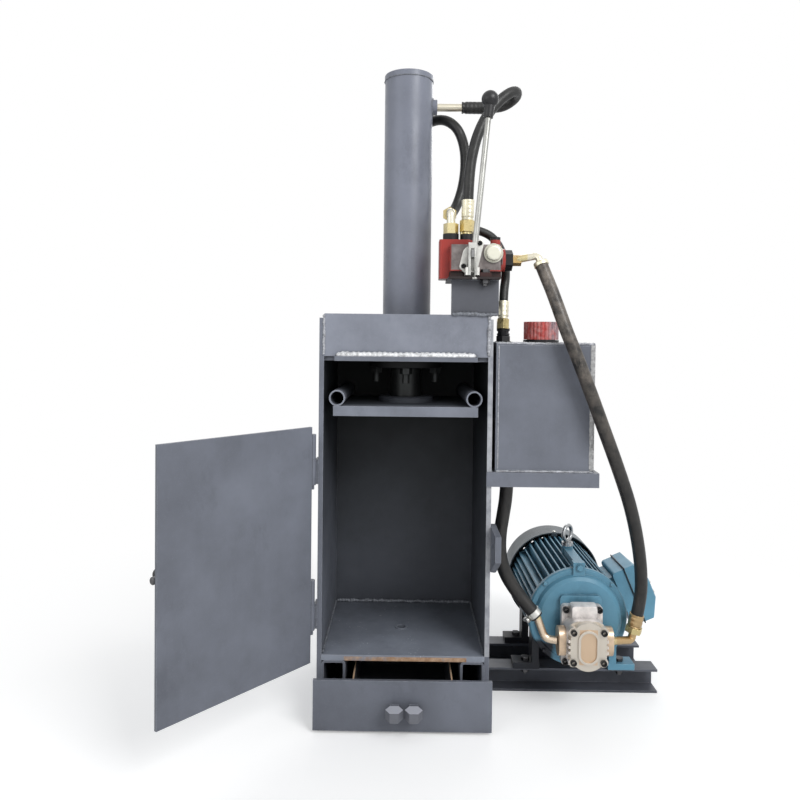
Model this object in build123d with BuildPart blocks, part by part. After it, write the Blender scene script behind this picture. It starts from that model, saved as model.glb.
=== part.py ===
import os
from math import cos, pi, radians, sin

from build123d import *

# A hand-fed hydraulic drum flattening press with its tank and its motor pump unit.
# Millimetres, +Z up. While it is modelled, x = 0 is the middle plane of the press
# cabinet, y = 0 is the front edge of its side plates and z = 0 is the floor.
# At the end everything is moved so that the origin lies at floor level under the
# middle of the machine without its hoses.

# Cabinet
cabinet_width = 360.0
cabinet_depth = 310.0
cabinet_top = 845.0
plate = 10.0
back_plate = 10.0
floor_top = 142.0
floor_plate = 12.0
drain_x = -4.0
drain_y = 150.0
drain_hole = 20.0
drain_ring = 29.0
drain_ring_rise = 2.0
header_top = 854.0
mount_plate_top = 766.0
mount_plate = 10.0
mount_plate_width = 295.0
mount_plate_front = 10.0

# Skid tubes under the cabinet and the drawer between them
skid_width = 50.0
skid_wall = 5.0
skid_corner = 8.0
runner_leg = 30.0
runner_height = 25.0
runner_sheet = 4.0
runner_foot = 6.0
tray_width = 206.0
tray_length = 290.0
tray_top = 103.0
tray_sheet = 3.0
slide_gap = 0.4
drawer_front_width = 364.0
drawer_front_bottom = 6.0
drawer_front_top = 109.5
drawer_front_sheet = 8.0
drawer_out = 37.0
grip_flats = 31.0
grip_height = 21.0
grip_bottom = 44.0
grip_neck = 12.0
grip_neck_width = 18.0
grip_chamfer = 3.0
grip_places = (-16.0, 23.0)

# Press cylinder and its ram
tube_outer = 108.0
tube_inner = 90.0
tube_hole_gap = 1.0
cylinder_top = 1396.0
cap_sheet = 12.0
cap_outer = 110.0
flange_outer = 166.0
flange_sheet = 17.0
flange_chamfer = 1.5
flange_bolt_circle = 134.0
flange_bolt = 16.0
flange_bolt_flats = 24.0
flange_bolt_head = 10.0
flange_nut = 13.0
flange_bolt_end = 20.0
gland_length = 50.0
rod_outer = 70.0
piston_gap = 0.5
piston_length = 42.0
piston_top = 1306.0
piston_seal_width = 5.0
piston_seal_depth = 4.0
upper_port_height = 1328.0
lower_port_height = 812.0
port_boss = 34.0
port_boss_rise = 10.0
port_bore = 12.0
platen_width = 302.0
platen_depth = 296.0
platen_front = 6.0
platen_sheet = 21.0
platen_top = 662.0
collar_outer = 124.0
collar_height = 12.0
collar_chamfer = 3.0
guard_pipe = 33.7
guard_pipe_wall = 3.2
guard_pipe_x = 143.0
guard_pipe_seat = 0.4

# Door, hinges and slide latch
door_width = 352.0
door_bottom = 131.0
door_top = 620.0
door_sheet = 6.0
door_open = 130.0
door_gap = 1.0
pin_x = -191.0
pin_outer = 8.0
knuckle_outer = 14.0
knuckle_gap = 0.3
hinge_bottoms = (196.0, 499.0)
hinge_height = 105.0
hinge_joint_gap = 0.5
pin_tail = 9.0
leaf_sheet = 4.0
leaf_over = 2.0
fixed_leaf_length = 30.0
door_leaf_length = 38.0
latch_height = 383.0
latch_rod = 14.0
latch_length = 147.0
latch_tip = 3.0
latch_axis_off = 16.0
latch_gap = 0.5
latch_chamfer = 1.5
guide_places = (256.0, 304.0)
guide_length = 12.0
guide_width = 26.0
knob_place = 326.0
knob_off = 40.0
knob_outer = 24.0
knob_stem = 8.0
keeper_sheet = 12.0
keeper_front = 75.0
keeper_back = 20.0
keeper_top = 416.0
keeper_drop = 3.0
keeper_tip_bottom = 362.0
keeper_root_bottom = 320.0
keeper_hole = 17.0

# Oil tank on its shelf
shelf_right = 402.0
shelf_left = 169.0
shelf_top = 529.0
shelf_sheet = 5.0
shelf_flange = 30.0
shelf_depth = 300.0
tank_left = 187.0
tank_right = 391.0
tank_front = 2.0
tank_back = 296.0
tank_top = 797.0
tank_sheet = 5.0
tank_side_sheet = 8.0
filler_x = 306.0
filler_y = 150.0
filler_bore = 54.0
filler_neck_outer = 64.0
filler_neck_top = 826.0
filler_flange_outer = 80.0
filler_flange = 7.0
cap_outer_grip = 78.0
cap_height = 40.0
cap_roof = 8.0
cap_gap = 0.7
cap_flutes = 28
cap_flute = 2.4
return_x = 206.0
return_y = 45.0
suction_x = 222.0
suction_y = 70.0
suction_pipe = 22.0

# Valve, its bracket and its hand lever
bracket_left = 92.0
bracket_right = 190.0
bracket_sheet = 5.0
bracket_back = 110.0
table_left = 85.0
table_front = -24.0
table_top = 931.0
valve_left = 90.0
valve_right = 196.0
valve_front = 6.0
valve_back = 90.0
valve_top = 1000.0
valve_corner = 6.0
end_block_left = 68.0
end_block_front = 34.0
end_block_back = 86.0
end_block_top = 1014.0
valve_foot_height = 13.0
valve_foot_depth = 10.0
spool_x = 133.0
spool_height = 978.0
spool_outer = 16.0
spool_gap = 0.4
spool_cap_outer = 34.0
spool_cap_length = 24.0
spool_cap_sheet = 4.0
spool_cap_room = 3.0
lever_arm = 36.0
lever_y = -16.0
lever_lean = 5.2
lever_length = 313.0
lever_outer = 12.0
lever_knob = 35.0
lever_knob_neck = 38.0
lever_pin = 6.0
cheek_sheet = 5.0
cheek_gap = 7.0
cheek_width = 16.0
lever_gap = 0.4

port_b_x = 127.0
work_port_y = 58.0
spool_reach = 34.0
spool_tail = 8.0
tongue = 6.2
tongue_length = 24.0
plate_tilt = 55.0
plate_screws = 58.0
plate_lobe = 17.0
plate_middle = 38.0
plate_foot = 22.0
plate_screw = 7.0
plate_round = 1.5
plate_sheet = 6.0
ear_sheet = 5.0
fork_over = 22.0
fork_roof = 12.0
pin_gap = 0.3
slot_play = 0.7
rod_sink = 6.0
knob_root = 19.0
knob_waist = 11.0
relief_x = 178.0
relief_height = 982.0
relief_outer = 33.0
relief_length = 16.0
relief_round = 5.0
relief_rim = 40.0
relief_rim_length = 5.0
plug_x = 185.0
plug_outer = 21.0
plug_top = 1012.0
plug_cap = 6.0
port_a_x = 93.0
port_a_y = 58.0
port_a_height = 1077.0
collar_a = 34.0
collar_b = 27.0
collar_rise = 14.0
adapter_flats = 28.0
adapter_height = 22.0
side_adapter_flats = 20.0
side_adapter_length = 19.0
side_nut_flats = 38.0
side_nut_length = 16.0
pressure_lead = 24.0
pump_lead = 59.0
port_ring = 48.0
port_ring_rise = 8.0
pressure_port_y = 30.0
pressure_port_z = 970.0
table_bolt_x = 160.0
table_bolt_rows = (-9.0, 100.0)
valve_lug = 24.0
valve_lug_sheet = 9.0

# Motor pump unit on its two beams
beam_height = 54.0
beam_depth = 45.0
beam_wall = 5.0
beam_right = 582.0
front_beam_back = 190.0
rear_beam_back = 320.0
motor_x = 390.0
shaft_height = 132.0
bell_outer = 220.0
bell_front = 95.0
bell_length = 27.0
bell_face = 192.0
bell_round = 10.0
bell_rim = 13.0
bell_rim_round = 3.0
bell_wall = 8.0
bell_draft = 2.0
bell_step = 10.0
stator_outer = 184.0
fin_outer = 218.0
fin_rows = 5
fin_pitch = 12.6
fin_sheet = 3.0
shield_outer = 204.0
shield_rear = 10.0
stator_back = 385.0
stator_bore = 128.0
cowl_outer = 238.0
cowl_length = 85.0
cowl_sheet = 2.5
cowl_lap = 12.0
cowl_round = 12.0
cowl_clip = 14.0
grille_slot = 50.0
grille_gap = 8.0
grille_middle = 60.0
grille_slots = 18
shaft_outer = 38.0
shaft_gap = 0.5
fan_outer = 190.0
fan_blades = 7
fan_blade = 3.0
fan_room = 16.0
fan_sheet = 4.0
fan_depth = 30.0
fan_hub_wall = 8.0
shaft_end_gap = 2.0
shaft_tail = 50.0
rotor_outer = 124.0
rotor_gap = 20.0
foot_spread = 216.0
foot_rows = (160.0, 300.0)
foot_width = 60.0
foot_web_inner = 80.0
foot_web_outer = 96.0
foot_web_top = 160.0
foot_length = 40.0
foot_sheet = 14.0
frame_bolt = 10.0
bolt_flats = 17.0
bolt_head = 7.0
bolt_nut = 8.0
bolt_tail = 13.0
box_tilt = 23.0
box_inner = 118.0
box_face = 149.0
box_low = -103.0
box_high = 28.0
box_neck_low = -25.0
box_neck_high = 18.0
box_front = 190.0
box_back = 290.0
box_corner = 8.0
box_gap = 0.2
fin_depth = 3.0
lid_edge = 22.0
lid_crown = 44.0
lid_slope = 42.0
lid_over = 2.0
lid_round = 4.0
gasket = 3.0
eye_y = 225.0
eye_ring = 36.0
eye_wire = 9.0
eye_pad = 26.0
eye_pad_rise = 20.0
eye_neck = 18.0
eye_pad_height = 8.0
eye_neck_height = 4.0
eye_turn = 47.0
eye_rib = 19.0
eye_rib_top = 310.0
eye_lug = 26.0
eye_lug_bottom = 280.0
eye_lug_length = 18.0

# Gear pump
pump_width = 86.0
pump_height = 98.0
pump_corner = 26.0
gear_distance = 54.0
pump_pad = 90.0
pump_pad_rise = 10.0
pump_pad_over = 48.0
pump_flange_corner = 8.0
pump_front = 12.0
cover_sheet = 15.0
cover_teeth = (-12.0, 0.0, 12.0)
cover_tooth = 6.0
pump_waist = 60.0
shoulder = 22.0
shoulder_taper = 8.0
flange_ear = 8.0
pump_key = 7.0
flange_pad = 15.0
pump_flange_bolts_x = 73.0
pump_flange_bolts_z = 114.5
pump_flange_up = 32.5
pump_bolt_spread = 63.5
cover_width = 76.0
cover_height = 102.0
cover_ear = 20.0
pump_bolt_head = 13.0
pump_bolt_rise = 6.0
flange_bolt_rise = 8.0
rim_width = 44.0
rim_height = 73.0
rim_wall = 5.0
rim_rise = 4.0
port_flange_width = 42.0
port_flange_height = 62.0
port_flange_corner = 20.0
port_flange_rise = 15.0

# Hoses
work_hose = 23.0
pressure_hose = 27.0
suction_hose = 29.0
return_hose = 19.0

ferrule_wall = 2.0
nut_flats_over = 5.0
clamp_width = 12.0
clamp_sheet = 2.0
clamp_inset = 4.0

# Values worked out from the sizes above
inner_x = cabinet_width / 2 - plate
skid_top = floor_top - floor_plate
skid_inner = inner_x - skid_width
skid_middle = inner_x - skid_width / 2
press_y = cabinet_depth / 2
flange_top = mount_plate_top - mount_plate
flange_bottom = flange_top - flange_sheet
rod_bottom = platen_top
door_plane = Plane(
    origin=(pin_x, -door_gap - door_sheet, 0),
    x_dir=(cos(radians(door_open)), -sin(radians(door_open)), 0),
    z_dir=(0, 0, 1),
)
door_start = knuckle_outer / 2
door_end = door_start + door_width
motor_z = beam_height + shaft_height
front_feet = (Align.CENTER, Align.CENTER, Align.MIN)
pump_z = motor_z - gear_distance / 2
sink = 1.0
pump_back = bell_front - pump_pad_rise
pump_flange_z = motor_z + pump_flange_up - pump_flange_bolts_z / 2
eye_base = motor_z + fin_outer / 2 + eye_pad_rise
pressure_port_x = valve_right + port_ring_rise
bell_back = bell_front + bell_length
core_top = motor_z + stator_outer / 2 - fin_depth
pivot_height = spool_height - lever_arm
shaft_bore = shaft_outer + 2 * shaft_gap
fork_half = cheek_gap / 2 + cheek_sheet
ear_inner = fork_half + lever_gap
lean_x = sin(radians(lever_lean))
lean_z = cos(radians(lever_lean))
pieces = {}


def slab(x0, x1, y0, y1, z0, z1, mode=Mode.ADD):
    """A rectangular block between two corners."""
    with Locations(((x0 + x1) / 2, (y0 + y1) / 2, (z0 + z1) / 2)):
        Box(x1 - x0, y1 - y0, z1 - z0, mode=mode)


def post(x, y, z0, z1, diameter, mode=Mode.ADD):
    """An upright cylinder."""
    with Locations((x, y, z0)):
        Cylinder(diameter / 2, z1 - z0, align=front_feet, mode=mode)


def spindle(x, y0, y1, z, diameter, mode=Mode.ADD):
    """A cylinder that lies along Y."""
    with Locations(Plane(origin=(x, y0, z), z_dir=(0, 1, 0))):
        Cylinder(diameter / 2, y1 - y0, align=front_feet, mode=mode)


def crossbar(x0, x1, y, z, diameter, mode=Mode.ADD):
    """A cylinder that lies along X."""
    with Locations(Plane(origin=(x0, y, z), z_dir=(1, 0, 0))):
        Cylinder(diameter / 2, x1 - x0, align=front_feet, mode=mode)


def side_slab(middle, side, near, far, y0, y1, z0, z1, mode=Mode.ADD):
    """A block on one side of a middle plane, between two distances from it."""
    edges = sorted((middle + side * near, middle + side * far))
    slab(*edges, y0, y1, z0, z1, mode)


def facing(x, y, z):
    """A plane that looks toward the front of the machine, with its x along X and its y up."""
    return Plane(origin=(x, y, z), x_dir=(1, 0, 0), z_dir=(0, -1, 0))


def hexagon(plane, flats, height):
    """A hexagonal prism that starts on a plane."""
    with BuildSketch(plane, mode=Mode.PRIVATE) as outline:
        RegularPolygon(flats / 2, 6, major_radius=False)
    extrude(outline.sketch, amount=height)


# Side plates of the cabinet
with BuildPart() as side_plates:
    for sign in (-1, 1):
        middle = sign * (inner_x + plate / 2)
        slab(middle - plate / 2, middle + plate / 2, 0, cabinet_depth, 0, cabinet_top)
pieces["side_plates"] = side_plates

with BuildPart() as back_wall:
    slab(-cabinet_width / 2, cabinet_width / 2, cabinet_depth, cabinet_depth + back_plate, 0, cabinet_top)
pieces["back_plate"] = back_wall

# Floor of the crushing chamber with its drain hole and the ring round it
with BuildPart() as chamber_floor:
    slab(-inner_x, inner_x, 0, cabinet_depth, skid_top, floor_top)
    post(drain_x, drain_y, floor_top, floor_top + drain_ring_rise, drain_ring)
    post(drain_x, drain_y, skid_top, floor_top + drain_ring_rise, drain_hole, Mode.SUBTRACT)
pieces["chamber_floor"] = chamber_floor

# Cross header and the plate that carries the cylinder
with BuildPart() as header:
    slab(-inner_x, inner_x, 0, plate, mount_plate_top, header_top)
pieces["front_header"] = header

with BuildPart() as cylinder_plate:
    slab(-mount_plate_width / 2, mount_plate_width / 2, -mount_plate_front, cabinet_depth,
         flange_top, mount_plate_top)
    for ear in (-1, 1):
        side_slab(0, ear, mount_plate_width / 2, inner_x, plate, cabinet_depth, flange_top, mount_plate_top)
    post(0, press_y, flange_top, mount_plate_top, tube_outer + 2 * tube_hole_gap, Mode.SUBTRACT)
    with Locations((0, press_y, flange_top)):
        with PolarLocations(flange_bolt_circle / 2, 4):
            Cylinder(flange_bolt / 2 + 0.5, mount_plate, align=front_feet, mode=Mode.SUBTRACT)
pieces["cylinder_plate"] = cylinder_plate

# Skid tubes under the floor plate
with BuildPart() as skids:
    with BuildSketch(Plane(origin=(0, 0, 0), x_dir=(1, 0, 0), z_dir=(0, -1, 0))):
        with Locations((-skid_middle, skid_top / 2), (skid_middle, skid_top / 2)):
            RectangleRounded(skid_width, skid_top, skid_corner)
            RectangleRounded(skid_width - 2 * skid_wall, skid_top - 2 * skid_wall, skid_corner - skid_wall,
                             mode=Mode.SUBTRACT)
    extrude(amount=-cabinet_depth)
pieces["skid_tubes"] = skids

# Angle runners that carry the drawer, one on each skid tube
with BuildPart() as runners:
    with BuildSketch(Plane(origin=(0, 5, 0), x_dir=(1, 0, 0), z_dir=(0, -1, 0))):
        with BuildLine():
            Polyline(
                (skid_inner, runner_foot),
                (skid_inner - runner_leg, runner_foot),
                (skid_inner - runner_leg, runner_foot + runner_sheet),
                (skid_inner - runner_sheet, runner_foot + runner_sheet),
                (skid_inner - runner_sheet, runner_foot + runner_height),
                (skid_inner, runner_foot + runner_height),
                close=True,
            )
        make_face()
        mirror(about=Plane.YZ)
    extrude(amount=-(cabinet_depth - 10))
pieces["drawer_runners"] = runners

# Drawer tray, its front and its two hexagonal grips
tray_bottom = runner_foot + runner_sheet + slide_gap
with BuildPart() as tray:
    slab(-tray_width / 2, tray_width / 2, -drawer_out, -drawer_out + tray_length, tray_bottom, tray_top)
    slab(-tray_width / 2 + tray_sheet, tray_width / 2 - tray_sheet, -drawer_out + tray_sheet,
         -drawer_out + tray_length - tray_sheet, tray_bottom + tray_sheet, tray_top, Mode.SUBTRACT)
pieces["drawer_tray"] = tray

panel_y = -drawer_out - drawer_front_sheet
with BuildPart() as drawer_front:
    with BuildSketch(Plane.XY.offset(grip_bottom)):
        with Locations([(grip_x, panel_y - grip_neck - grip_flats / 2) for grip_x in grip_places]):
            RegularPolygon(grip_flats / 2, 6, major_radius=False)
    extrude(amount=grip_height)
    chamfer(drawer_front.edges().group_by(Axis.Z)[0], grip_chamfer)
    for grip_x in grip_places:
        slab(grip_x - grip_neck_width / 2, grip_x + grip_neck_width / 2, panel_y - grip_neck - grip_chamfer,
             panel_y, grip_bottom + grip_chamfer, grip_bottom + grip_height - grip_chamfer)
    slab(-drawer_front_width / 2, drawer_front_width / 2, panel_y, -drawer_out, drawer_front_bottom,
         drawer_front_top)
pieces["drawer_front"] = drawer_front

# Press cylinder: tube, bolted flange, gland and top cap
with BuildPart() as cylinder_tube:
    post(0, press_y, flange_bottom, flange_top, flange_outer)
    chamfer(cylinder_tube.edges().filter_by(GeomType.CIRCLE), flange_chamfer)
    post(0, press_y, flange_bottom, cylinder_top - cap_sheet, tube_outer)
    with Locations((0, press_y, flange_bottom)):
        with PolarLocations(flange_bolt_circle / 2, 4):
            Cylinder(flange_bolt / 2 + 0.5, flange_sheet, align=front_feet, mode=Mode.SUBTRACT)
    crossbar(0, tube_outer / 2 + port_boss_rise, press_y, upper_port_height, port_boss)
    spindle(0, press_y, press_y + tube_outer / 2 + port_boss_rise, lower_port_height, port_boss)
    post(0, press_y, flange_bottom, cylinder_top - cap_sheet, tube_inner, Mode.SUBTRACT)
    crossbar(0, tube_outer, press_y, upper_port_height, port_bore, Mode.SUBTRACT)
    spindle(0, press_y, press_y + tube_outer, lower_port_height, port_bore, Mode.SUBTRACT)
pieces["cylinder_tube"] = cylinder_tube

with BuildPart() as cylinder_cap:
    post(0, press_y, cylinder_top - cap_sheet, cylinder_top, cap_outer)
    fillet(cylinder_cap.edges().group_by(Axis.Z)[-1], 2)
pieces["cylinder_cap"] = cylinder_cap

with BuildPart() as gland:
    post(0, press_y, flange_bottom, flange_bottom + gland_length, tube_inner)
    post(0, press_y, flange_bottom, flange_bottom + gland_length, rod_outer + 2 * piston_gap, Mode.SUBTRACT)
pieces["rod_gland"] = gland

with BuildPart() as flange_bolts:
    with Locations((0, press_y, 0)):
        with PolarLocations(flange_bolt_circle / 2, 4):
            with Locations((0, 0, flange_bottom - flange_nut - flange_bolt_end)):
                Cylinder(flange_bolt / 2, mount_plate_top - flange_bottom + flange_nut + flange_bolt_end,
                         align=front_feet)
    for base, height in ((mount_plate_top, flange_bolt_head), (flange_bottom - flange_nut, flange_nut)):
        with BuildSketch(Plane.XY.offset(base)):
            with Locations((0, press_y)):
                with PolarLocations(flange_bolt_circle / 2, 4):
                    RegularPolygon(flange_bolt_flats / 2, 6, major_radius=False, rotation=30)
        extrude(amount=height)
pieces["flange_bolts"] = flange_bolts

# Ram: piston with its seal groove, rod, collar, platen and the two pipes on the platen
with BuildPart() as piston:
    post(0, press_y, piston_top - piston_length, piston_top, tube_inner - 2 * piston_gap)
    for step in (-1, 1):
        middle = piston_top - piston_length / 2 + step * piston_seal_width
        post(0, press_y, middle - piston_seal_width / 2, middle + piston_seal_width / 2, tube_inner,
             Mode.SUBTRACT)
        post(0, press_y, middle - piston_seal_width / 2, middle + piston_seal_width / 2,
             tube_inner - 2 * piston_gap - 2 * piston_seal_depth)
pieces["piston"] = piston

with BuildPart() as ram_rod:
    post(0, press_y, rod_bottom, piston_top - piston_length, rod_outer)
pieces["ram_rod"] = ram_rod

with BuildPart() as platen:
    post(0, press_y, platen_top, platen_top + collar_height, collar_outer)
    chamfer(platen.edges().filter_by(GeomType.CIRCLE).sort_by(Axis.Z)[-1], collar_chamfer)
    post(0, press_y, platen_top, platen_top + collar_height, rod_outer, Mode.SUBTRACT)
    slab(-platen_width / 2, platen_width / 2, platen_front, platen_front + platen_depth,
         platen_top - platen_sheet, platen_top)
pieces["platen"] = platen

pipe_z = platen_top + guard_pipe / 2 - guard_pipe_seat
with BuildPart() as guard_pipes:
    with BuildSketch(Plane(origin=(0, platen_front, 0), x_dir=(1, 0, 0), z_dir=(0, -1, 0))):
        with Locations((-guard_pipe_x, pipe_z), (guard_pipe_x, pipe_z)):
            Circle(guard_pipe / 2)
            Circle(guard_pipe / 2 - guard_pipe_wall, mode=Mode.SUBTRACT)
    extrude(amount=-platen_depth)
    split(bisect_by=Plane.XY.offset(platen_top), keep=Keep.TOP)
pieces["platen_pipes"] = guard_pipes

# Door with the two guides of its slide latch, drawn in the plane of its own hinge pin,
# where x runs to its free edge
latch_root = door_plane.from_local_coords((0, -latch_axis_off, latch_height))
latch_axis = Plane(origin=latch_root, z_dir=door_plane.x_dir)
with BuildPart() as door_panel:
    with BuildSketch(door_plane.offset(door_bottom)):
        with Locations((door_start + door_width / 2, door_sheet / 2)):
            Rectangle(door_width, door_sheet)
    extrude(amount=door_top - door_bottom)
    with BuildSketch(door_plane.offset(latch_height - guide_width / 2)):
        for place in guide_places:
            with Locations((place, -latch_axis_off / 2 - guide_width / 4)):
                Rectangle(guide_length, latch_axis_off + guide_width / 2)
    extrude(amount=guide_width)
    with Locations(latch_axis):
        Cylinder(latch_rod / 2 + latch_gap, door_end, align=front_feet, mode=Mode.SUBTRACT)
pieces["door_panel"] = door_panel

half_hinge = (hinge_height - hinge_joint_gap) / 2
bore = pin_outer + 2 * knuckle_gap
with BuildPart() as door_leaves:
    for bottom in hinge_bottoms:
        with BuildSketch(door_plane.offset(bottom + half_hinge + hinge_joint_gap)):
            Circle(knuckle_outer / 2)
            with Locations((door_leaf_length / 2 + leaf_over, -leaf_sheet / 2)):
                Rectangle(door_leaf_length, leaf_sheet)
            Circle(bore / 2, mode=Mode.SUBTRACT)
        extrude(amount=half_hinge)
pieces["door_hinge_leaves"] = door_leaves

with BuildPart() as frame_leaves:
    pin_y = -door_gap - door_sheet
    wall_x = -cabinet_width / 2
    for bottom in hinge_bottoms:
        with BuildSketch(Plane.XY.offset(bottom)):
            with Locations((pin_x, pin_y)):
                Circle(knuckle_outer / 2)
            with Locations(((pin_x + wall_x - leaf_sheet - knuckle_gap) / 2, (pin_y + leaf_over) / 2)):
                Rectangle(wall_x - leaf_sheet - knuckle_gap - pin_x, leaf_over - pin_y)
            with Locations((wall_x - leaf_sheet * 0.75, fixed_leaf_length / 2)):
                Rectangle(leaf_sheet * 1.5, fixed_leaf_length)
        extrude(amount=half_hinge)
        post(pin_x, pin_y, bottom - pin_tail, bottom + hinge_height, pin_outer)
pieces["frame_hinge_leaves"] = frame_leaves

# Slide bolt of the latch and its ball knob
with BuildPart() as latch_bolt:
    with Locations(latch_axis.offset(door_end - latch_tip - latch_length)):
        Cylinder(latch_rod / 2, latch_length, align=front_feet)
    chamfer(latch_bolt.edges().filter_by(GeomType.CIRCLE), latch_chamfer)
pieces["latch_bolt"] = latch_bolt

stem_root = door_plane.from_local_coords((knob_place, -latch_axis_off, latch_height))
with BuildPart() as latch_knob:
    with Locations(Plane(origin=stem_root, z_dir=-door_plane.y_dir)):
        Cylinder(knob_stem / 2, knob_off - latch_axis_off, align=front_feet)
    with Locations(door_plane.from_local_coords((knob_place, -knob_off, latch_height))):
        Sphere(knob_outer / 2)
    with Locations(latch_axis):
        Cylinder(latch_rod / 2, door_end, align=front_feet, mode=Mode.SUBTRACT)
pieces["latch_knob"] = latch_knob

with BuildPart() as keeper:
    with BuildSketch(Plane(origin=(cabinet_width / 2, 0, 0), x_dir=(0, 1, 0), z_dir=(1, 0, 0))):
        with BuildLine():
            Polyline(
                (keeper_back, keeper_top),
                (-keeper_front, keeper_top - keeper_drop),
                (-keeper_front, keeper_tip_bottom),
                (0, keeper_root_bottom),
                (keeper_back, keeper_root_bottom),
                close=True,
            )
        make_face()
        with Locations((-door_gap - door_sheet - latch_axis_off, latch_height)):
            Circle(keeper_hole / 2, mode=Mode.SUBTRACT)
    extrude(amount=keeper_sheet)
pieces["latch_keeper"] = keeper

# Folded shelf of the tank
with BuildPart() as shelf:
    with BuildSketch(Plane(origin=(cabinet_width / 2, 0, 0), x_dir=(0, 1, 0), z_dir=(1, 0, 0))):
        with BuildLine():
            Polyline(
                (-shelf_sheet, shelf_top),
                (shelf_depth, shelf_top),
                (shelf_depth, shelf_top - shelf_flange),
                (shelf_depth - shelf_sheet, shelf_top - shelf_flange),
                (shelf_depth - shelf_sheet, shelf_top - shelf_sheet),
                (0, shelf_top - shelf_sheet),
                (0, shelf_top - shelf_flange),
                (-shelf_sheet, shelf_top - shelf_flange),
                close=True,
            )
        make_face()
    extrude(amount=shelf_right - cabinet_width / 2)
    slab(shelf_left, cabinet_width / 2, -shelf_sheet, 0, shelf_top - shelf_flange, shelf_top)
    post(suction_x, suction_y, shelf_top - shelf_sheet, shelf_top, suction_pipe + 2, Mode.SUBTRACT)
pieces["tank_shelf"] = shelf

# Welded tank: a sheet folded into floor and sides, two end plates and a top
wall_top = tank_top - tank_sheet
with BuildPart() as tank_wrap:
    slab(tank_left, tank_right, tank_front, tank_back, shelf_top, shelf_top + tank_sheet)
    slab(tank_left, tank_left + tank_sheet, tank_front, tank_back, shelf_top, wall_top)
    slab(tank_right - tank_side_sheet, tank_right, tank_front, tank_back, shelf_top, wall_top)
    post(suction_x, suction_y, shelf_top, shelf_top + tank_sheet, suction_pipe, Mode.SUBTRACT)
pieces["tank_wrap"] = tank_wrap

with BuildPart() as tank_ends:
    for start in (tank_front, tank_back - tank_sheet):
        slab(tank_left + tank_sheet, tank_right - tank_side_sheet, start, start + tank_sheet,
             shelf_top + tank_sheet, wall_top)
pieces["tank_ends"] = tank_ends

with BuildPart() as tank_top_wall:
    slab(tank_left, tank_right, tank_front, tank_back, wall_top, tank_top)
    post(filler_x, filler_y, wall_top, tank_top, filler_bore, Mode.SUBTRACT)
    post(return_x, return_y, wall_top, tank_top, port_bore, Mode.SUBTRACT)
pieces["tank_top"] = tank_top_wall

with BuildPart() as filler_neck:
    post(filler_x, filler_y, tank_top, filler_neck_top, filler_neck_outer)
    post(filler_x, filler_y, tank_top, tank_top + filler_flange, filler_flange_outer)
    post(filler_x, filler_y, tank_top, filler_neck_top, filler_bore, Mode.SUBTRACT)
pieces["filler_neck"] = filler_neck

cap_bottom = tank_top + filler_flange + cap_gap
with BuildPart() as filler_cap:
    with BuildSketch(Plane.XY.offset(cap_bottom)):
        with Locations((filler_x, filler_y)):
            Circle(cap_outer_grip / 2)
            with PolarLocations(cap_outer_grip / 2 + 0.6, cap_flutes):
                Circle(cap_flute, mode=Mode.SUBTRACT)
    extrude(amount=cap_height)
    post(filler_x, filler_y, cap_bottom, cap_bottom + cap_height - cap_roof, filler_neck_outer + 2 * cap_gap,
         Mode.SUBTRACT)
pieces["filler_cap"] = filler_cap

# Bracket of the valve: an upright web with a table on top
with BuildPart() as bracket:
    slab(bracket_left, bracket_right, 0, bracket_sheet, header_top, table_top - bracket_sheet)
    slab(table_left, bracket_right, table_front, bracket_back, table_top - bracket_sheet, table_top)
    with BuildSketch(Plane(origin=(bracket_right, 0, 0), x_dir=(0, 1, 0), z_dir=(1, 0, 0))):
        with BuildLine():
            Polyline(
                (bracket_sheet, header_top),
                (plate, header_top),
                (bracket_back, table_top - bracket_sheet),
                (bracket_sheet, table_top - bracket_sheet),
                close=True,
            )
        make_face()
    extrude(amount=-bracket_sheet)
    for row in table_bolt_rows:
        post(table_bolt_x, row, table_top - bracket_sheet, table_top, frame_bolt + 1, Mode.SUBTRACT)
pieces["valve_bracket"] = bracket

# Valve body with the block of its left port and the bore of its spool
body_middle = (valve_left + valve_right) / 2
with BuildPart() as valve_body:
    with BuildSketch(Plane.XY.offset(table_top)):
        with Locations((body_middle, (valve_front + valve_back) / 2)):
            RectangleRounded(valve_right - valve_left, valve_back - valve_front, valve_corner)
    extrude(amount=valve_top - table_top)
    with BuildSketch(Plane.XY.offset(table_top)):
        with Locations(((end_block_left + spool_x) / 2, (end_block_front + end_block_back) / 2)):
            RectangleRounded(spool_x - end_block_left, end_block_back - end_block_front, valve_corner)
    extrude(amount=end_block_top - table_top)
    post(port_b_x, work_port_y, valve_top, end_block_top, port_boss)
    post(plug_x, pressure_port_y, valve_top, plug_top, plug_outer)
    crossbar(valve_right, pressure_port_x, pressure_port_y, pressure_port_z, port_ring)
    slab(valve_left, valve_right, valve_front, valve_front + valve_foot_depth, table_top,
         table_top + valve_foot_height, Mode.SUBTRACT)
    slab(table_bolt_x - valve_lug / 2, table_bolt_x + valve_lug / 2, table_bolt_rows[0] - valve_lug / 2,
         bracket_back, table_top, table_top + valve_lug_sheet)
    for row in table_bolt_rows:
        post(table_bolt_x, row, table_top, table_top + valve_lug_sheet, frame_bolt + 1, Mode.SUBTRACT)
    spindle(spool_x, valve_front, valve_back, spool_height, spool_outer + 2 * spool_gap, Mode.SUBTRACT)
pieces["valve_body"] = valve_body

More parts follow.
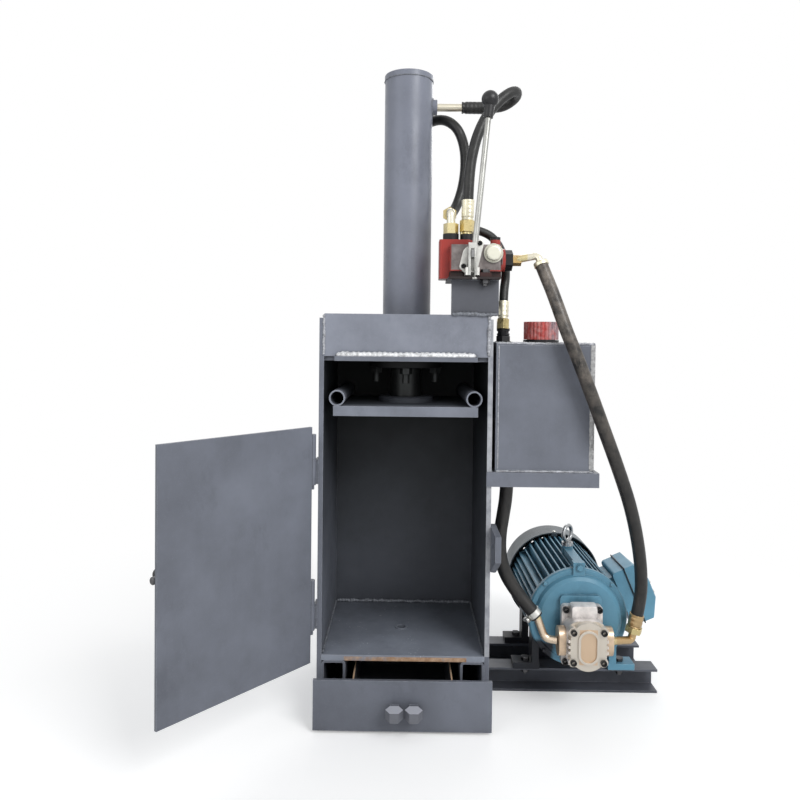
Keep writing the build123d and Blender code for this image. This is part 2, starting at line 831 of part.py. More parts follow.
# Spool with the flat tongue that the lever moves, and the cap over its spring
with BuildPart() as spool:
    spindle(spool_x, valve_front - spool_reach, valve_back + spool_tail, spool_height, spool_outer)
    for ear in (-1, 1):
        side_slab(spool_x, ear, tongue / 2, spool_outer, valve_front - spool_reach - 1,
                  valve_front - spool_reach + tongue_length, spool_height - spool_outer,
                  spool_height + spool_outer, Mode.SUBTRACT)
    crossbar(spool_x - fork_half, spool_x + fork_half, lever_y, spool_height, lever_pin)
pieces["valve_spool"] = spool

# Cast end plate on the front of the valve, which also carries the pin of the lever
with BuildPart() as lever_plate:
    screw_x = plate_screws / 2 * cos(radians(plate_tilt))
    screw_z = plate_screws / 2 * sin(radians(plate_tilt))
    with BuildSketch(facing(spool_x, valve_front, spool_height)):
        with Locations((screw_x, screw_z), (-screw_x, -screw_z)):
            Circle(plate_lobe / 2)
        Circle(plate_middle / 2)
        with Locations((0, -lever_arm)):
            Circle(plate_foot / 2)
        make_hull()
        with Locations((screw_x, screw_z), (-screw_x, -screw_z)):
            Circle(plate_screw / 2, mode=Mode.SUBTRACT)
        Circle(spool_outer / 2 + spool_gap, mode=Mode.SUBTRACT)
    extrude(amount=plate_sheet)
    fillet(lever_plate.faces().sort_by(Axis.Y)[0].outer_wire().edges(), plate_round)
    for ear in (-1, 1):
        side_slab(spool_x, ear, ear_inner, ear_inner + ear_sheet, lever_y - cheek_width / 2, valve_front,
                  pivot_height - cheek_width / 2, pivot_height + cheek_width / 2)
    pin_half = ear_inner + ear_sheet + 1
    crossbar(spool_x - pin_half, spool_x + pin_half, lever_y, pivot_height, lever_pin)
pieces["lever_plate"] = lever_plate

# Lever: forked boss, rod and knob
pivot = (spool_x, lever_y, pivot_height)
lever_plane = Plane(origin=pivot, x_dir=(lean_z, 0, -lean_x), z_dir=(lean_x, 0, lean_z))
boss_top = spool_height + fork_over
slot_width = lever_pin + 2 * pin_gap
with BuildPart() as lever_boss:
    slab(spool_x - fork_half, spool_x + fork_half, lever_y - cheek_width / 2, lever_y + cheek_width / 2,
         pivot_height - cheek_width / 2, boss_top)
    slab(spool_x - cheek_gap / 2, spool_x + cheek_gap / 2, lever_y - cheek_width, lever_y + cheek_width,
         pivot_height - cheek_width, boss_top - fork_roof, Mode.SUBTRACT)
    crossbar(spool_x - 2 * cheek_gap, spool_x + 2 * cheek_gap, lever_y, pivot_height, slot_width,
             Mode.SUBTRACT)
    slab(spool_x - 2 * cheek_gap, spool_x + 2 * cheek_gap, lever_y - slot_width / 2,
         lever_y + slot_width / 2, spool_height - slot_width / 2 - slot_play,
         spool_height + slot_width / 2 + slot_play, Mode.SUBTRACT)
pieces["lever_boss"] = lever_boss

rod_start = (boss_top - pivot_height - rod_sink) / lean_z
with BuildPart() as lever_rod:
    with Locations(lever_plane.offset(rod_start)):
        Cylinder(lever_outer / 2, lever_length - rod_start, align=front_feet)
    slab(spool_x - lever_arm, spool_x + lever_arm, lever_y - lever_arm, lever_y + lever_arm, pivot_height,
         boss_top, Mode.SUBTRACT)
pieces["lever_rod"] = lever_rod

with BuildPart() as lever_knob_piece:
    with BuildSketch(Plane(origin=lever_plane.offset(lever_length).origin, x_dir=lever_plane.x_dir,
                           z_dir=(0, -1, 0))):
        with BuildLine():
            radius = lever_knob / 2
            waist = lever_knob_neck - (radius ** 2 - knob_waist ** 2) ** 0.5
            Polyline((0, lever_knob_neck + radius), (0, 0), (knob_root / 2, 0), (knob_waist, waist))
            ThreePointArc((knob_waist, waist), (radius, lever_knob_neck), (0, lever_knob_neck + radius))
        make_face()
    revolve(axis=Axis(lever_plane.origin, lever_plane.z_dir))
pieces["lever_knob"] = lever_knob_piece

# Spring cap of the spool, dome of the relief valve and lock nut of the pressure port
with BuildPart() as valve_caps:
    spindle(spool_x, valve_back, valve_back + spool_cap_length, spool_height, spool_cap_outer)
    spindle(spool_x, valve_back, valve_back + spool_cap_length - spool_cap_sheet, spool_height,
            spool_outer + 2 * spool_cap_room, Mode.SUBTRACT)
    spindle(relief_x, valve_front - relief_length, valve_front, relief_height, relief_outer)
    fillet(valve_caps.edges().filter_by(GeomType.CIRCLE).group_by(Axis.Y)[0], relief_round)
    spindle(relief_x, valve_front - relief_rim_length, valve_front, relief_height, relief_rim)
    hexagon(Plane(origin=(pressure_port_x, pressure_port_y, pressure_port_z), z_dir=(1, 0, 0)),
            side_nut_flats, side_nut_length)
    post(plug_x, pressure_port_y, plug_top, plug_top + plug_cap, plug_outer)
pieces["valve_caps"] = valve_caps

# Beams under the motor: channels with their open side toward the front
with BuildPart() as beams:
    for back in (front_beam_back, rear_beam_back):
        with BuildSketch(Plane(origin=(cabinet_width / 2, 0, 0), x_dir=(0, 1, 0), z_dir=(1, 0, 0))):
            with Locations((back - beam_depth / 2, beam_height / 2)):
                Rectangle(beam_depth, beam_height)
            with Locations((back - beam_depth / 2 - beam_wall / 2, beam_height / 2)):
                Rectangle(beam_depth - beam_wall, beam_height - 2 * beam_wall, mode=Mode.SUBTRACT)
        extrude(amount=beam_right - cabinet_width / 2)
    for sign in (-1, 1):
        for row in foot_rows:
            post(motor_x + sign * foot_spread / 2, row, beam_height - beam_wall, beam_height, frame_bolt + 1,
                 Mode.SUBTRACT)
pieces["motor_beams"] = beams

# Motor: finned housing with its feet, front bell, cowl, fan, rotor and shaft
with BuildPart() as motor_housing:
    with BuildSketch(facing(motor_x, bell_back, motor_z)):
        with GridLocations(fin_pitch, fin_pitch, 2 * fin_rows + 1, 1):
            Rectangle(fin_sheet, fin_outer)
        with GridLocations(fin_pitch, fin_pitch, 1, 2 * fin_rows + 1):
            Rectangle(fin_outer, fin_sheet)
        Circle(fin_outer / 2, mode=Mode.INTERSECT)
        Circle(stator_outer / 2)
        Circle(stator_bore / 2, mode=Mode.SUBTRACT)
    extrude(amount=bell_back - stator_back)
    slab(motor_x - eye_rib / 2, motor_x + eye_rib / 2, bell_back, eye_y, core_top, eye_rib_top)
    post(motor_x, eye_y, core_top, eye_base, eye_pad)
    for sign in (-1, 1):
        for row in foot_rows:
            foot_x = motor_x + sign * foot_spread / 2
            foot_ends = (row - foot_length / 2, row + foot_length / 2)
            slab(foot_x - foot_width / 2, foot_x + foot_width / 2, *foot_ends, beam_height,
                 beam_height + foot_sheet)
            side_slab(motor_x, sign, foot_web_inner, foot_web_outer, *foot_ends, beam_height, foot_web_top)
            post(foot_x, row, beam_height, beam_height + foot_sheet, frame_bolt + 1, Mode.SUBTRACT)
pieces["motor_housing"] = motor_housing

with BuildPart() as frame_bolts:
    holes = [(motor_x + sign * foot_spread / 2, row, beam_height, beam_wall, foot_sheet)
             for sign in (-1, 1) for row in foot_rows]
    holes += [(table_bolt_x, row, table_top, bracket_sheet, valve_lug_sheet) for row in table_bolt_rows]
    for bolt_x, bolt_y, joint_z, below, above in holes:
        post(bolt_x, bolt_y, joint_z - below - bolt_tail, joint_z + above + bolt_head, frame_bolt)
        hexagon(Plane.XY.offset(joint_z + above).move(Location((bolt_x, bolt_y, 0))), bolt_flats, bolt_head)
        hexagon(Plane.XY.offset(joint_z - below - bolt_nut).move(Location((bolt_x, bolt_y, 0))),
                bolt_flats, bolt_nut)
pieces["frame_bolts"] = frame_bolts

with BuildPart() as motor_bell:
    with BuildSketch(Plane(origin=(motor_x, 0, motor_z), x_dir=(0, 1, 0), z_dir=(-1, 0, 0))):
        with BuildLine():
            Polyline(
                (bell_front, shaft_bore / 2),
                (bell_front, bell_face / 2 - bell_round),
                (bell_front + bell_round / 2, bell_face / 2 - bell_round / 4),
                (bell_front + bell_round, bell_face / 2),
                (bell_back - bell_rim, bell_face / 2 + bell_draft),
                (bell_back - bell_rim, bell_outer / 2 - bell_rim_round),
                (bell_back - bell_rim + bell_rim_round, bell_outer / 2),
                (bell_back, bell_outer / 2),
                (bell_back, stator_bore / 2),
                (bell_back - bell_wall, stator_bore / 2 - bell_step),
                (bell_back - bell_wall, shaft_bore / 2),
                close=True,
            )
        make_face()
    revolve(axis=Axis((motor_x, 0, motor_z), (0, 1, 0)))
    pad_top = pump_flange_z + pump_flange_bolts_z / 2 + pump_pad_over / 2
    pad_bottom = motor_z - stator_bore / 2
    with BuildSketch(facing(motor_x, bell_front + sink, (pad_top + pad_bottom) / 2)):
        RectangleRounded(pump_pad, pad_top - pad_bottom, pump_flange_corner)
    extrude(amount=pump_pad_rise + sink)
    spindle(motor_x, pump_back, bell_front + sink, motor_z, shaft_bore, Mode.SUBTRACT)
    slab(motor_x - eye_lug / 2, motor_x + eye_lug / 2, bell_back - eye_lug_length, bell_back, eye_lug_bottom,
         eye_rib_top)
    spindle(motor_x, stator_back, stator_back + shield_rear, motor_z, shield_outer)
    spindle(motor_x, stator_back, stator_back + shield_rear, motor_z, shaft_bore, Mode.SUBTRACT)
pieces["motor_end_shields"] = motor_bell

cowl_front = stator_back - cowl_lap
clip_length = (cowl_outer - cowl_sheet - fin_outer) / 2 + 2 * sink
with BuildPart() as cowl:
    spindle(motor_x, cowl_front, cowl_front + cowl_length, motor_z, cowl_outer)
    fillet(cowl.edges().group_by(Axis.Y)[-1], cowl_round)
    offset(amount=-cowl_sheet, openings=cowl.faces().sort_by(Axis.Y)[0])
    with BuildSketch(facing(motor_x, cowl_front + cowl_length - 2 * cowl_sheet, motor_z)):
        with PolarLocations(grille_middle, grille_slots):
            SlotOverall(grille_slot, grille_gap)
    extrude(amount=-2 * cowl_sheet, mode=Mode.SUBTRACT)
    for step in range(4):
        turn = step * pi / 2
        clip_way = (cos(turn), 0, sin(turn))
        with Locations(Plane(origin=(motor_x, cowl_front, motor_z), x_dir=clip_way, z_dir=(0, 1, 0))):
            with Locations(((cowl_outer - cowl_sheet + fin_outer) / 4, 0, 0)):
                Box(clip_length, cowl_clip, cowl_lap, align=front_feet)
    spindle(motor_x, cowl_front, stator_back, motor_z, fin_outer, Mode.SUBTRACT)
pieces["fan_cowl"] = cowl

# Rotor pressed on its shaft, and the fan behind the rear shield
with BuildPart() as motor_shaft:
    spindle(motor_x, pump_back + shaft_end_gap, stator_back + shaft_tail, motor_z, shaft_outer)
    spindle(motor_x, bell_back + rotor_gap, stator_back - rotor_gap, motor_z, rotor_outer)
pieces["motor_rotor"] = motor_shaft

fan_front = stator_back + fan_room
with BuildPart() as fan:
    spindle(motor_x, fan_front, fan_front + fan_sheet, motor_z, fan_outer)
    spindle(motor_x, fan_front, fan_front + fan_depth, motor_z, shaft_outer + 2 * fan_hub_wall)
    blade_start = shaft_outer / 2 + fan_hub_wall - sink
    blade_end = fan_outer / 2 - sink
    with Locations(Plane(origin=(motor_x, fan_front + fan_sheet, motor_z), z_dir=(0, 1, 0))):
        with PolarLocations((blade_start + blade_end) / 2, fan_blades):
            Box(blade_end - blade_start, fan_blade, fan_depth, align=front_feet)
    spindle(motor_x, fan_front, fan_front + fan_sheet + fan_depth, motor_z, shaft_outer, Mode.SUBTRACT)
pieces["cooling_fan"] = fan

# Terminal box on the right of the motor and the lifting eye on its top
box_plane = Plane(
    origin=(motor_x, 0, motor_z),
    x_dir=(cos(radians(box_tilt)), 0, sin(radians(box_tilt))),
    z_dir=(0, -1, 0),
)
with BuildPart() as terminal_box:
    with BuildSketch(box_plane.offset(-box_front)):
        with Locations(((box_inner + box_face - gasket) / 2, (box_low + box_high) / 2)):
            Rectangle(box_face - gasket - box_inner, box_high - box_low)
    extrude(amount=box_front - box_back)
    fillet(terminal_box.edges().filter_by(Axis.Y).group_by(Axis.X)[0], box_corner)
    with BuildSketch(box_plane.offset(-box_front - box_corner)):
        with Locations(((fin_outer / 2 - fin_depth + box_inner) / 2, (box_neck_low + box_neck_high) / 2)):
            Rectangle(box_inner - fin_outer / 2 + fin_depth + sink, box_neck_high - box_neck_low)
    extrude(amount=box_front - box_back + 2 * box_corner)
    spindle(motor_x, box_front, box_back, motor_z, fin_outer + 2 * box_gap, Mode.SUBTRACT)
pieces["terminal_box"] = terminal_box

with BuildPart() as box_cover:
    with BuildSketch(box_plane.offset(-box_front + lid_over)):
        with BuildLine():
            Polyline(
                (box_face - gasket, box_low - lid_over),
                (box_face + lid_edge, box_low - lid_over),
                (box_face + lid_crown, box_low + lid_slope),
                (box_face + lid_crown, box_high - lid_slope),
                (box_face + lid_edge, box_high + lid_over),
                (box_face - gasket, box_high + lid_over),
                close=True,
            )
        make_face()
    extrude(amount=box_front - box_back - 2 * lid_over)
    outer_faces = box_cover.faces().filter_by(Axis.Y, reverse=True).sort_by_distance(box_plane.origin)[-3:]
    fillet(outer_faces.edges(), lid_round)
pieces["terminal_lid"] = box_cover

with BuildPart() as lifting_eye:
    post(motor_x, eye_y, eye_base, eye_base + eye_pad_height, eye_pad)
    neck_top = eye_base + eye_pad_height + eye_neck_height
    post(motor_x, eye_y, eye_base + eye_pad_height, neck_top, eye_neck)
    ring_way = (sin(radians(eye_turn)), -cos(radians(eye_turn)), 0)
    with Locations(Plane(origin=(motor_x, eye_y, neck_top - sink + eye_ring / 2), z_dir=ring_way)):
        Torus(eye_ring / 2, eye_wire / 2)
pieces["lifting_eye"] = lifting_eye

# Gear pump: flange, body, cover with its raised rim, bolts and port flanges
body_back = pump_back - flange_pad
with BuildPart() as pump_body:
    with BuildSketch(facing(motor_x, pump_back, pump_flange_z)):
        RectangleRounded(pump_flange_bolts_x + 2 * flange_ear, pump_flange_bolts_z + 2 * flange_ear,
                         pump_flange_corner)
    extrude(amount=flange_pad)
    with BuildSketch(facing(motor_x, body_back, pump_z)):
        RectangleRounded(pump_width, pump_height, pump_corner)
    extrude(amount=body_back - pump_front - cover_sheet)
    with BuildSketch(facing(motor_x, body_back, pump_flange_z + pump_height / 4)):
        RectangleRounded(pump_waist, pump_height, pump_flange_corner)
    extrude(amount=shoulder, taper=shoulder_taper)
pieces["pump_body"] = pump_body

with BuildPart() as pump_cover:
    with BuildSketch(facing(motor_x, pump_front + cover_sheet, pump_z)):
        SlotOverall(cover_height, cover_width, rotation=90)
        with GridLocations(pump_bolt_spread, pump_bolt_spread, 2, 2):
            Circle(cover_ear / 2)
        for level in cover_teeth:
            with Locations((0, level)):
                Rectangle(pump_width - 2 * sink, cover_tooth)
    extrude(amount=cover_sheet)
    with BuildSketch(facing(motor_x, pump_front, pump_z)):
        SlotOverall(rim_height, rim_width, rotation=90)
        SlotOverall(rim_height - 2 * rim_wall, rim_width - 2 * rim_wall, rotation=90, mode=Mode.SUBTRACT)
    extrude(amount=rim_rise)
pieces["pump_cover"] = pump_cover

with BuildPart() as pump_bolts:
    with BuildSketch(facing(motor_x, pump_front, pump_z)):
        with GridLocations(pump_bolt_spread, pump_bolt_spread, 2, 2):
            Circle(pump_bolt_head / 2)
            RegularPolygon(pump_key / 2, 6, major_radius=False, mode=Mode.SUBTRACT)
    extrude(amount=pump_bolt_rise)
    with BuildSketch(facing(motor_x, body_back, pump_flange_z)):
        with GridLocations(pump_flange_bolts_x, pump_flange_bolts_z, 2, 2):
            Circle(pump_bolt_head / 2)
            RegularPolygon(pump_key / 2, 6, major_radius=False, mode=Mode.SUBTRACT)
    extrude(amount=flange_bolt_rise)
pieces["pump_bolts"] = pump_bolts

port_y = (pump_front + cover_sheet + body_back) / 2
with BuildPart() as port_flanges:
    for sign in (-1, 1):
        side = (motor_x + sign * pump_width / 2, port_y, pump_z)
        with BuildSketch(Plane(origin=side, x_dir=(0, 1, 0), z_dir=(sign, 0, 0))):
            RectangleRounded(port_flange_width, port_flange_height, port_flange_corner)
        extrude(amount=port_flange_rise)
pieces["pump_port_flanges"] = port_flanges


# Hoses: points chosen along each route, straight runs joined by tangent arcs
hose_routes = {
    "hose_cap_side": (work_hose, [
        (129, 58, 1101), (130, 58, 1146), (136, 60, 1197), (149, 65, 1247), (171, 72, 1291),
        (197, 80, 1322), (220, 91, 1342), (236, 107, 1350), (241, 127, 1348), (233, 145, 1341),
        (215, 155, 1332), (192, 155, 1328), (168, 155, 1328),
    ]),
    "hose_rod_side": (work_hose, [
        (93, 104, 1077), (95, 131, 1080), (103, 155, 1092), (115, 172, 1116), (126, 179, 1152),
        (132, 176, 1196), (129, 168, 1243), (113, 167, 1286), (82, 184, 1312), (44, 214, 1312),
        (14, 234, 1284), (-2, 240, 1236), (-8, 242, 1172), (-9, 243, 1092), (-5, 241, 1014),
        (-2, 239, 955), (0, 238, 900),
    ]),
    "hose_pressure": (pressure_hose, [
        (279, 8, 957), (287, 1, 934), (298, -8, 904), (310, -19, 866), (325, -28, 820), (343, -31, 777),
        (361, -31, 732), (380, -30, 684), (400, -28, 632), (421, -22, 581), (444, -10, 526), (470, 10, 464),
        (492, 34, 399), (508, 55, 338), (517, 70, 286), (519, 79, 242), (512, 80, 206),
    ]),
    "hose_suction": (suction_hose, [
        (222, 70, 505), (221, 70, 466), (215, 70, 425), (208, 70, 381), (208, 70, 336), (221, 70, 294),
        (243, 69, 260), (267, 66, 230), (290, 62, 204),
    ]),
    "hose_return": (return_hose, [
        (152, 114, 1046), (176, 114, 1040), (196, 110, 1022), (209, 99, 995), (214, 81, 965), (212, 62, 935),
        (207, 50, 909), (206, 46, 885),
    ]),
}


def route_radii(points):
    """The radius of each tangent arc, from the two runs that meet there."""
    vectors = [Vector(*b) - Vector(*a) for a, b in zip(points, points[1:])]
    radii = []
    for before, after in zip(vectors, vectors[1:]):
        half_turn = radians(before.get_angle(after)) / 2
        radii.append(0.45 * min(before.length, after.length) / (sin(half_turn) / cos(half_turn)))
    return radii


def end_direction(points, last):
    """The way out of a hose at its last or its first point."""
    inner, outer = (points[-2], points[-1]) if last else (points[1], points[0])
    return (Vector(*outer) - Vector(*inner)).normalized()


hose_nodes = []
for hose_name, (diameter, points) in hose_routes.items():
    radii = route_radii(points)
    with BuildPart() as hose:
        with BuildLine() as route:
            FilletPolyline(*points, radius=radii)
        with BuildSketch(Plane(origin=points[0], z_dir=-end_direction(points, False))):
            Circle(diameter / 2)
        sweep()
    route_length = sum(edge.length for edge in route.edges())
    expected = pi * diameter ** 2 / 4 * route_length
    print(f"{hose_name} length {route_length:.0f} volume ratio {hose.part.volume / expected:.4f}",
          "radii", [round(radius) for radius in radii])
    pieces[hose_name] = hose
    hose_nodes.append(hose_name)

# A crimped ferrule and a nut at the ends of the braided hoses, longer where they show
end_lengths = {
    ("hose_cap_side", False): (44, 24),
    ("hose_cap_side", True): (48, 0),
    ("hose_rod_side", False): (14, 14),
    ("hose_rod_side", True): (44, 24),
    ("hose_pressure", False): (9, 0),
    ("hose_pressure", True): (28, 13),
    ("hose_return", False): (6, 14),
    ("hose_return", True): (39, 21),
}


def hose_end(hose_name, last):
    """The middle of a hose's end face and the direction that leads away from the hose."""
    points = hose_routes[hose_name][1]
    return Vector(*(points[-1] if last else points[0])), end_direction(points, last)


with BuildPart() as ferrules:
    for (hose_name, last), (ferrule, nut) in end_lengths.items():
        start, away = hose_end(hose_name, last)
        with Locations(Plane(origin=start, z_dir=away)):
            Cylinder(hose_routes[hose_name][0] / 2 + ferrule_wall, ferrule, align=front_feet)
pieces["hose_ferrules"] = ferrules

with BuildPart() as nuts:
    for (hose_name, last), (ferrule, nut) in end_lengths.items():
        start, away = hose_end(hose_name, last)
        if nut:
            hexagon(Plane(origin=start + away * ferrule, z_dir=away),
                    hose_routes[hose_name][0] + nut_flats_over, nut)
pieces["hose_nuts"] = nuts

with BuildPart() as clamps:
    for last in (False, True):
        start, away = hose_end("hose_suction", last)
        with Locations(Plane(origin=start - away * (clamp_width + clamp_inset), z_dir=away)):
            Cylinder(suction_hose / 2 + clamp_sheet, clamp_width, align=front_feet)
            Cylinder(suction_hose / 2, clamp_width, align=front_feet, mode=Mode.SUBTRACT)
pieces["hose_clamps"] = clamps

# Rigid pipes, elbows and adapters between the hoses and the ports
pressure_mouth = (pressure_port_x + side_nut_length, pressure_port_y, pressure_port_z)
pressure_end, pressure_away = hose_end("hose_pressure", False)
pump_end, pump_away = hose_end("hose_pressure", True)
pipe_routes = (
    ("hose_cap_side", False, 20, [(port_b_x + 2, work_port_y, end_block_top)]),
    ("hose_cap_side", True, 17, [(tube_outer / 2 + port_boss_rise, press_y, upper_port_height)]),
    ("hose_rod_side", False, 18, [(port_a_x, port_a_y, port_a_height), (port_a_x, port_a_y, end_block_top)]),
    ("hose_rod_side", True, 18, [(0, 238, lower_port_height),
                                 (0, press_y + tube_outer / 2 + port_boss_rise, lower_port_height)]),
    ("hose_pressure", False, 15, [tuple(pressure_end + pressure_away * pressure_lead), pressure_mouth]),
    ("hose_pressure", True, 17, [tuple(pump_end + pump_away * pump_lead),
                                 (motor_x + pump_width / 2 + port_flange_rise, port_y, pump_z)]),
    ("hose_return", False, 16, [(124, 114, 1056), (124, 114, 1000), (124, end_block_back, 1000)]),
    ("hose_return", True, 18, [(return_x, return_y, tank_top)]),
    ("hose_suction", False, suction_pipe, [(suction_x, suction_y, shelf_top + tank_sheet)]),
    ("hose_suction", True, 17, [(307, 57, pump_z),
                                (motor_x - pump_width / 2 - port_flange_rise, port_y, pump_z)]),
)
with BuildPart() as oil_pipes:
    for hose_name, last, diameter, points in pipe_routes:
        start, away = hose_end(hose_name, last)
        start = start + away * sum(end_lengths.get((hose_name, last), (0, 0)))
        path = [tuple(start)] + points
        with BuildLine() as centre:
            if len(path) == 2:
                Line(*path)
            else:
                FilletPolyline(*path, radius=route_radii(path))
        with BuildSketch(Plane(origin=path[0], z_dir=Vector(*path[1]) - Vector(*path[0]))):
            Circle(diameter / 2)
        sweep(path=centre.wires()[0])
    post(port_a_x, port_a_y, end_block_top, end_block_top + collar_rise, collar_a)
    post(port_b_x, work_port_y, end_block_top, end_block_top + collar_rise, collar_b)
    hexagon(Plane(origin=(port_a_x, port_a_y, end_block_top + collar_rise)), adapter_flats, adapter_height)
    hexagon(Plane(origin=pressure_mouth, z_dir=(1, 0, 0)), side_adapter_flats, side_adapter_length)
pieces["oil_pipes"] = oil_pipes

# Move everything so that the origin is under the middle of the machine without its hoses
rigid = Compound([
    solid for name, piece in pieces.items() if name not in hose_nodes for solid in piece.part.solids()
])
box = rigid.bounding_box()
row_origin = Location((-(box.min.X + box.max.X) / 2, -(box.min.Y + box.max.Y) / 2, 0))
os.makedirs("parts", exist_ok=True)
for name, piece in pieces.items():
    solid = piece.part.moved(row_origin)
    solid.label = name
    export_step(solid, f"parts/{name}.step")
print("pieces", len(pieces), "origin shift", row_origin.position)
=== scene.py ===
import math

import bpy
import bmesh
from mathutils import Matrix, Vector, noise


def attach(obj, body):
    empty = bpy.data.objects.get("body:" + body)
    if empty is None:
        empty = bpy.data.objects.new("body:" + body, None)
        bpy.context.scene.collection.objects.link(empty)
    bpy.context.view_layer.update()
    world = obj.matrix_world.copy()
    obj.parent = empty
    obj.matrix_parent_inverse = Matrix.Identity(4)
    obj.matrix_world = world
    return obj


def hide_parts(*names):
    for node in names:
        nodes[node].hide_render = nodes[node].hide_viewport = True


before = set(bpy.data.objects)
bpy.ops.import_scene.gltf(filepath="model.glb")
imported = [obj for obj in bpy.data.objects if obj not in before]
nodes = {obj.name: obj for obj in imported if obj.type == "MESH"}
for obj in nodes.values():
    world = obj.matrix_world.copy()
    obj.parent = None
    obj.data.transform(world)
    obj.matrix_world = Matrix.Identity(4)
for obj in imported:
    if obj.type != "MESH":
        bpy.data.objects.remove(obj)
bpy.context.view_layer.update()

# The noise that shifts the weld beads starts from the clock unless it has a seed
WELD_SEED = 7
noise.seed_set(WELD_SEED)

# Sizes of the CAD source that the pieces and the zones of colour go by, in its own millimetres:
# x to the right from the middle of the cabinet, y to the rear from its front edge, z up.
CABINET_SIDE = 180
CABINET_TOP = 845
CHAMBER_SIDE = 170
CHAMBER_BACK = 310
FLOOR_TOP = 142
PLATE_BOTTOM = 756
PLATE_TOP = 766
HEADER_TOP = 854
LEAF_BOTTOMS = (196, 499)
LEAF_HEIGHT = 52
BEAM_TOP = 54
CYLINDER_Y = 155
CYLINDER_RADIUS = 54
TUBE_TOP = 1384
UPPER_PORT_Z = 1328
LOWER_PORT_Z = 812
SHELF_TOP = 529
TANK_LEFT = 187
TANK_RIGHT = 391
TANK_FRONT = 2
TANK_BACK = 296
TANK_TOP = 797
SPOOL_X = 133
SPOOL_Z = 978
MOTOR_X = 390
MOTOR_Z = 186
BOX_TILT = math.radians(23)

# What the CAD source adds to x and y at its end
SHIFT = (-74.1253, -86.0667)


def at(x, y, z):
    """A point of the press, in millimetres, as a point of the frame, in metres."""
    return Vector(((x + SHIFT[0]) / 1000, (y + SHIFT[1]) / 1000, z / 1000))


# Camera
PHOTO_WIDTH = 800
SENSOR = 36
FOCAL_PIXELS = 722.4
PRINCIPAL_ROW = 354.2
YAW = -0.0077
PITCH = 0.0205
ROLL = 0.011
EYE = (-1.2, -1494.4, 801.8)

camera_data = bpy.data.cameras.new("camera")
camera = bpy.data.objects.new("camera", camera_data)
bpy.context.scene.collection.objects.link(camera)
camera_data.sensor_width = SENSOR
camera_data.lens = FOCAL_PIXELS * SENSOR / PHOTO_WIDTH
camera_data.shift_y = -(PHOTO_WIDTH / 2 - PRINCIPAL_ROW) / PHOTO_WIDTH
camera_data.clip_start = 0.05
camera_data.clip_end = 60
right = Vector((math.cos(YAW), -math.sin(YAW), 0))
forward = Vector((math.sin(YAW) * math.cos(PITCH), math.cos(YAW) * math.cos(PITCH), -math.sin(PITCH)))
up = right.cross(forward)
turned = Matrix((right, up, -forward)).transposed().to_4x4()
camera.matrix_world = Matrix.Translation(at(*EYE)) @ turned @ Matrix.Rotation(ROLL, 4, "Z")
bpy.context.scene.camera = camera

# Hoses: diameter, length and the points of the route, all in press millimetres
HOSES = {
    "hose_cap_side": (23, 404, [
        (129, 58, 1101), (130, 58, 1146), (136, 60, 1197), (149, 65, 1247), (171, 72, 1291),
        (197, 80, 1322), (220, 91, 1342), (236, 107, 1350), (241, 127, 1348), (233, 145, 1341),
        (215, 155, 1332), (192, 155, 1328), (168, 155, 1328)]),
    "hose_rod_side": (23, 781, [
        (93, 104, 1077), (95, 131, 1080), (103, 155, 1092), (115, 172, 1116), (126, 179, 1152),
        (132, 176, 1196), (129, 168, 1243), (113, 167, 1286), (82, 184, 1312), (44, 214, 1312),
        (14, 234, 1284), (-2, 240, 1236), (-8, 242, 1172), (-9, 243, 1092), (-5, 241, 1014),
        (-2, 239, 955), (0, 238, 900)]),
    "hose_pressure": (27, 813, [
        (279, 8, 957), (287, 1, 934), (298, -8, 904), (310, -19, 866), (325, -28, 820),
        (343, -31, 777), (361, -31, 732), (380, -30, 684), (400, -28, 632), (421, -22, 581),
        (444, -10, 526), (470, 10, 464), (492, 34, 399), (508, 55, 338), (517, 70, 286),
        (519, 79, 242), (512, 80, 206)]),
    "hose_suction": (29, 327, [
        (222, 70, 505), (221, 70, 466), (215, 70, 425), (208, 70, 381), (208, 70, 336),
        (221, 70, 294), (243, 69, 260), (267, 66, 230), (290, 62, 204)]),
    "hose_return": (19, 207, [
        (152, 114, 1046), (176, 114, 1040), (196, 110, 1022), (209, 99, 995), (214, 81, 965),
        (212, 62, 935), (207, 50, 909), (206, 46, 885)]),
}
hoses = {}
for hose_name, (diameter, length, points) in HOSES.items():
    curve = bpy.data.curves.new(hose_name + "_rubber", "CURVE")
    curve.dimensions = "3D"
    curve.resolution_u = 12
    curve.bevel_depth = 1
    curve.bevel_resolution = 6
    curve.use_fill_caps = True
    spline = curve.splines.new("NURBS")
    spline.points.add(len(points) - 1)
    for control, point in zip(spline.points, points):
        control.co = (*at(*point), 1)
        control.radius = diameter / 2000
    spline.order_u = 3
    spline.use_endpoint_u = True
    hose = bpy.data.objects.new(hose_name + "_rubber", curve)
    bpy.context.scene.collection.objects.link(hose)
    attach(hose, "press_frame")
    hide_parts(hose_name)
    hoses[hose_name] = hose


# Materials
def colour(red, green, blue):
    """An sRGB colour of 0 to 255 as linear RGBA."""
    out = []
    for value in (red, green, blue):
        value /= 255
        out.append(value / 12.92 if value <= 0.04045 else ((value + 0.055) / 1.055) ** 2.4)
    return (*out, 1)


def scaled(base, share):
    """An sRGB colour made lighter or darker, as linear RGBA."""
    return colour(*[min(255, part * share) for part in base])


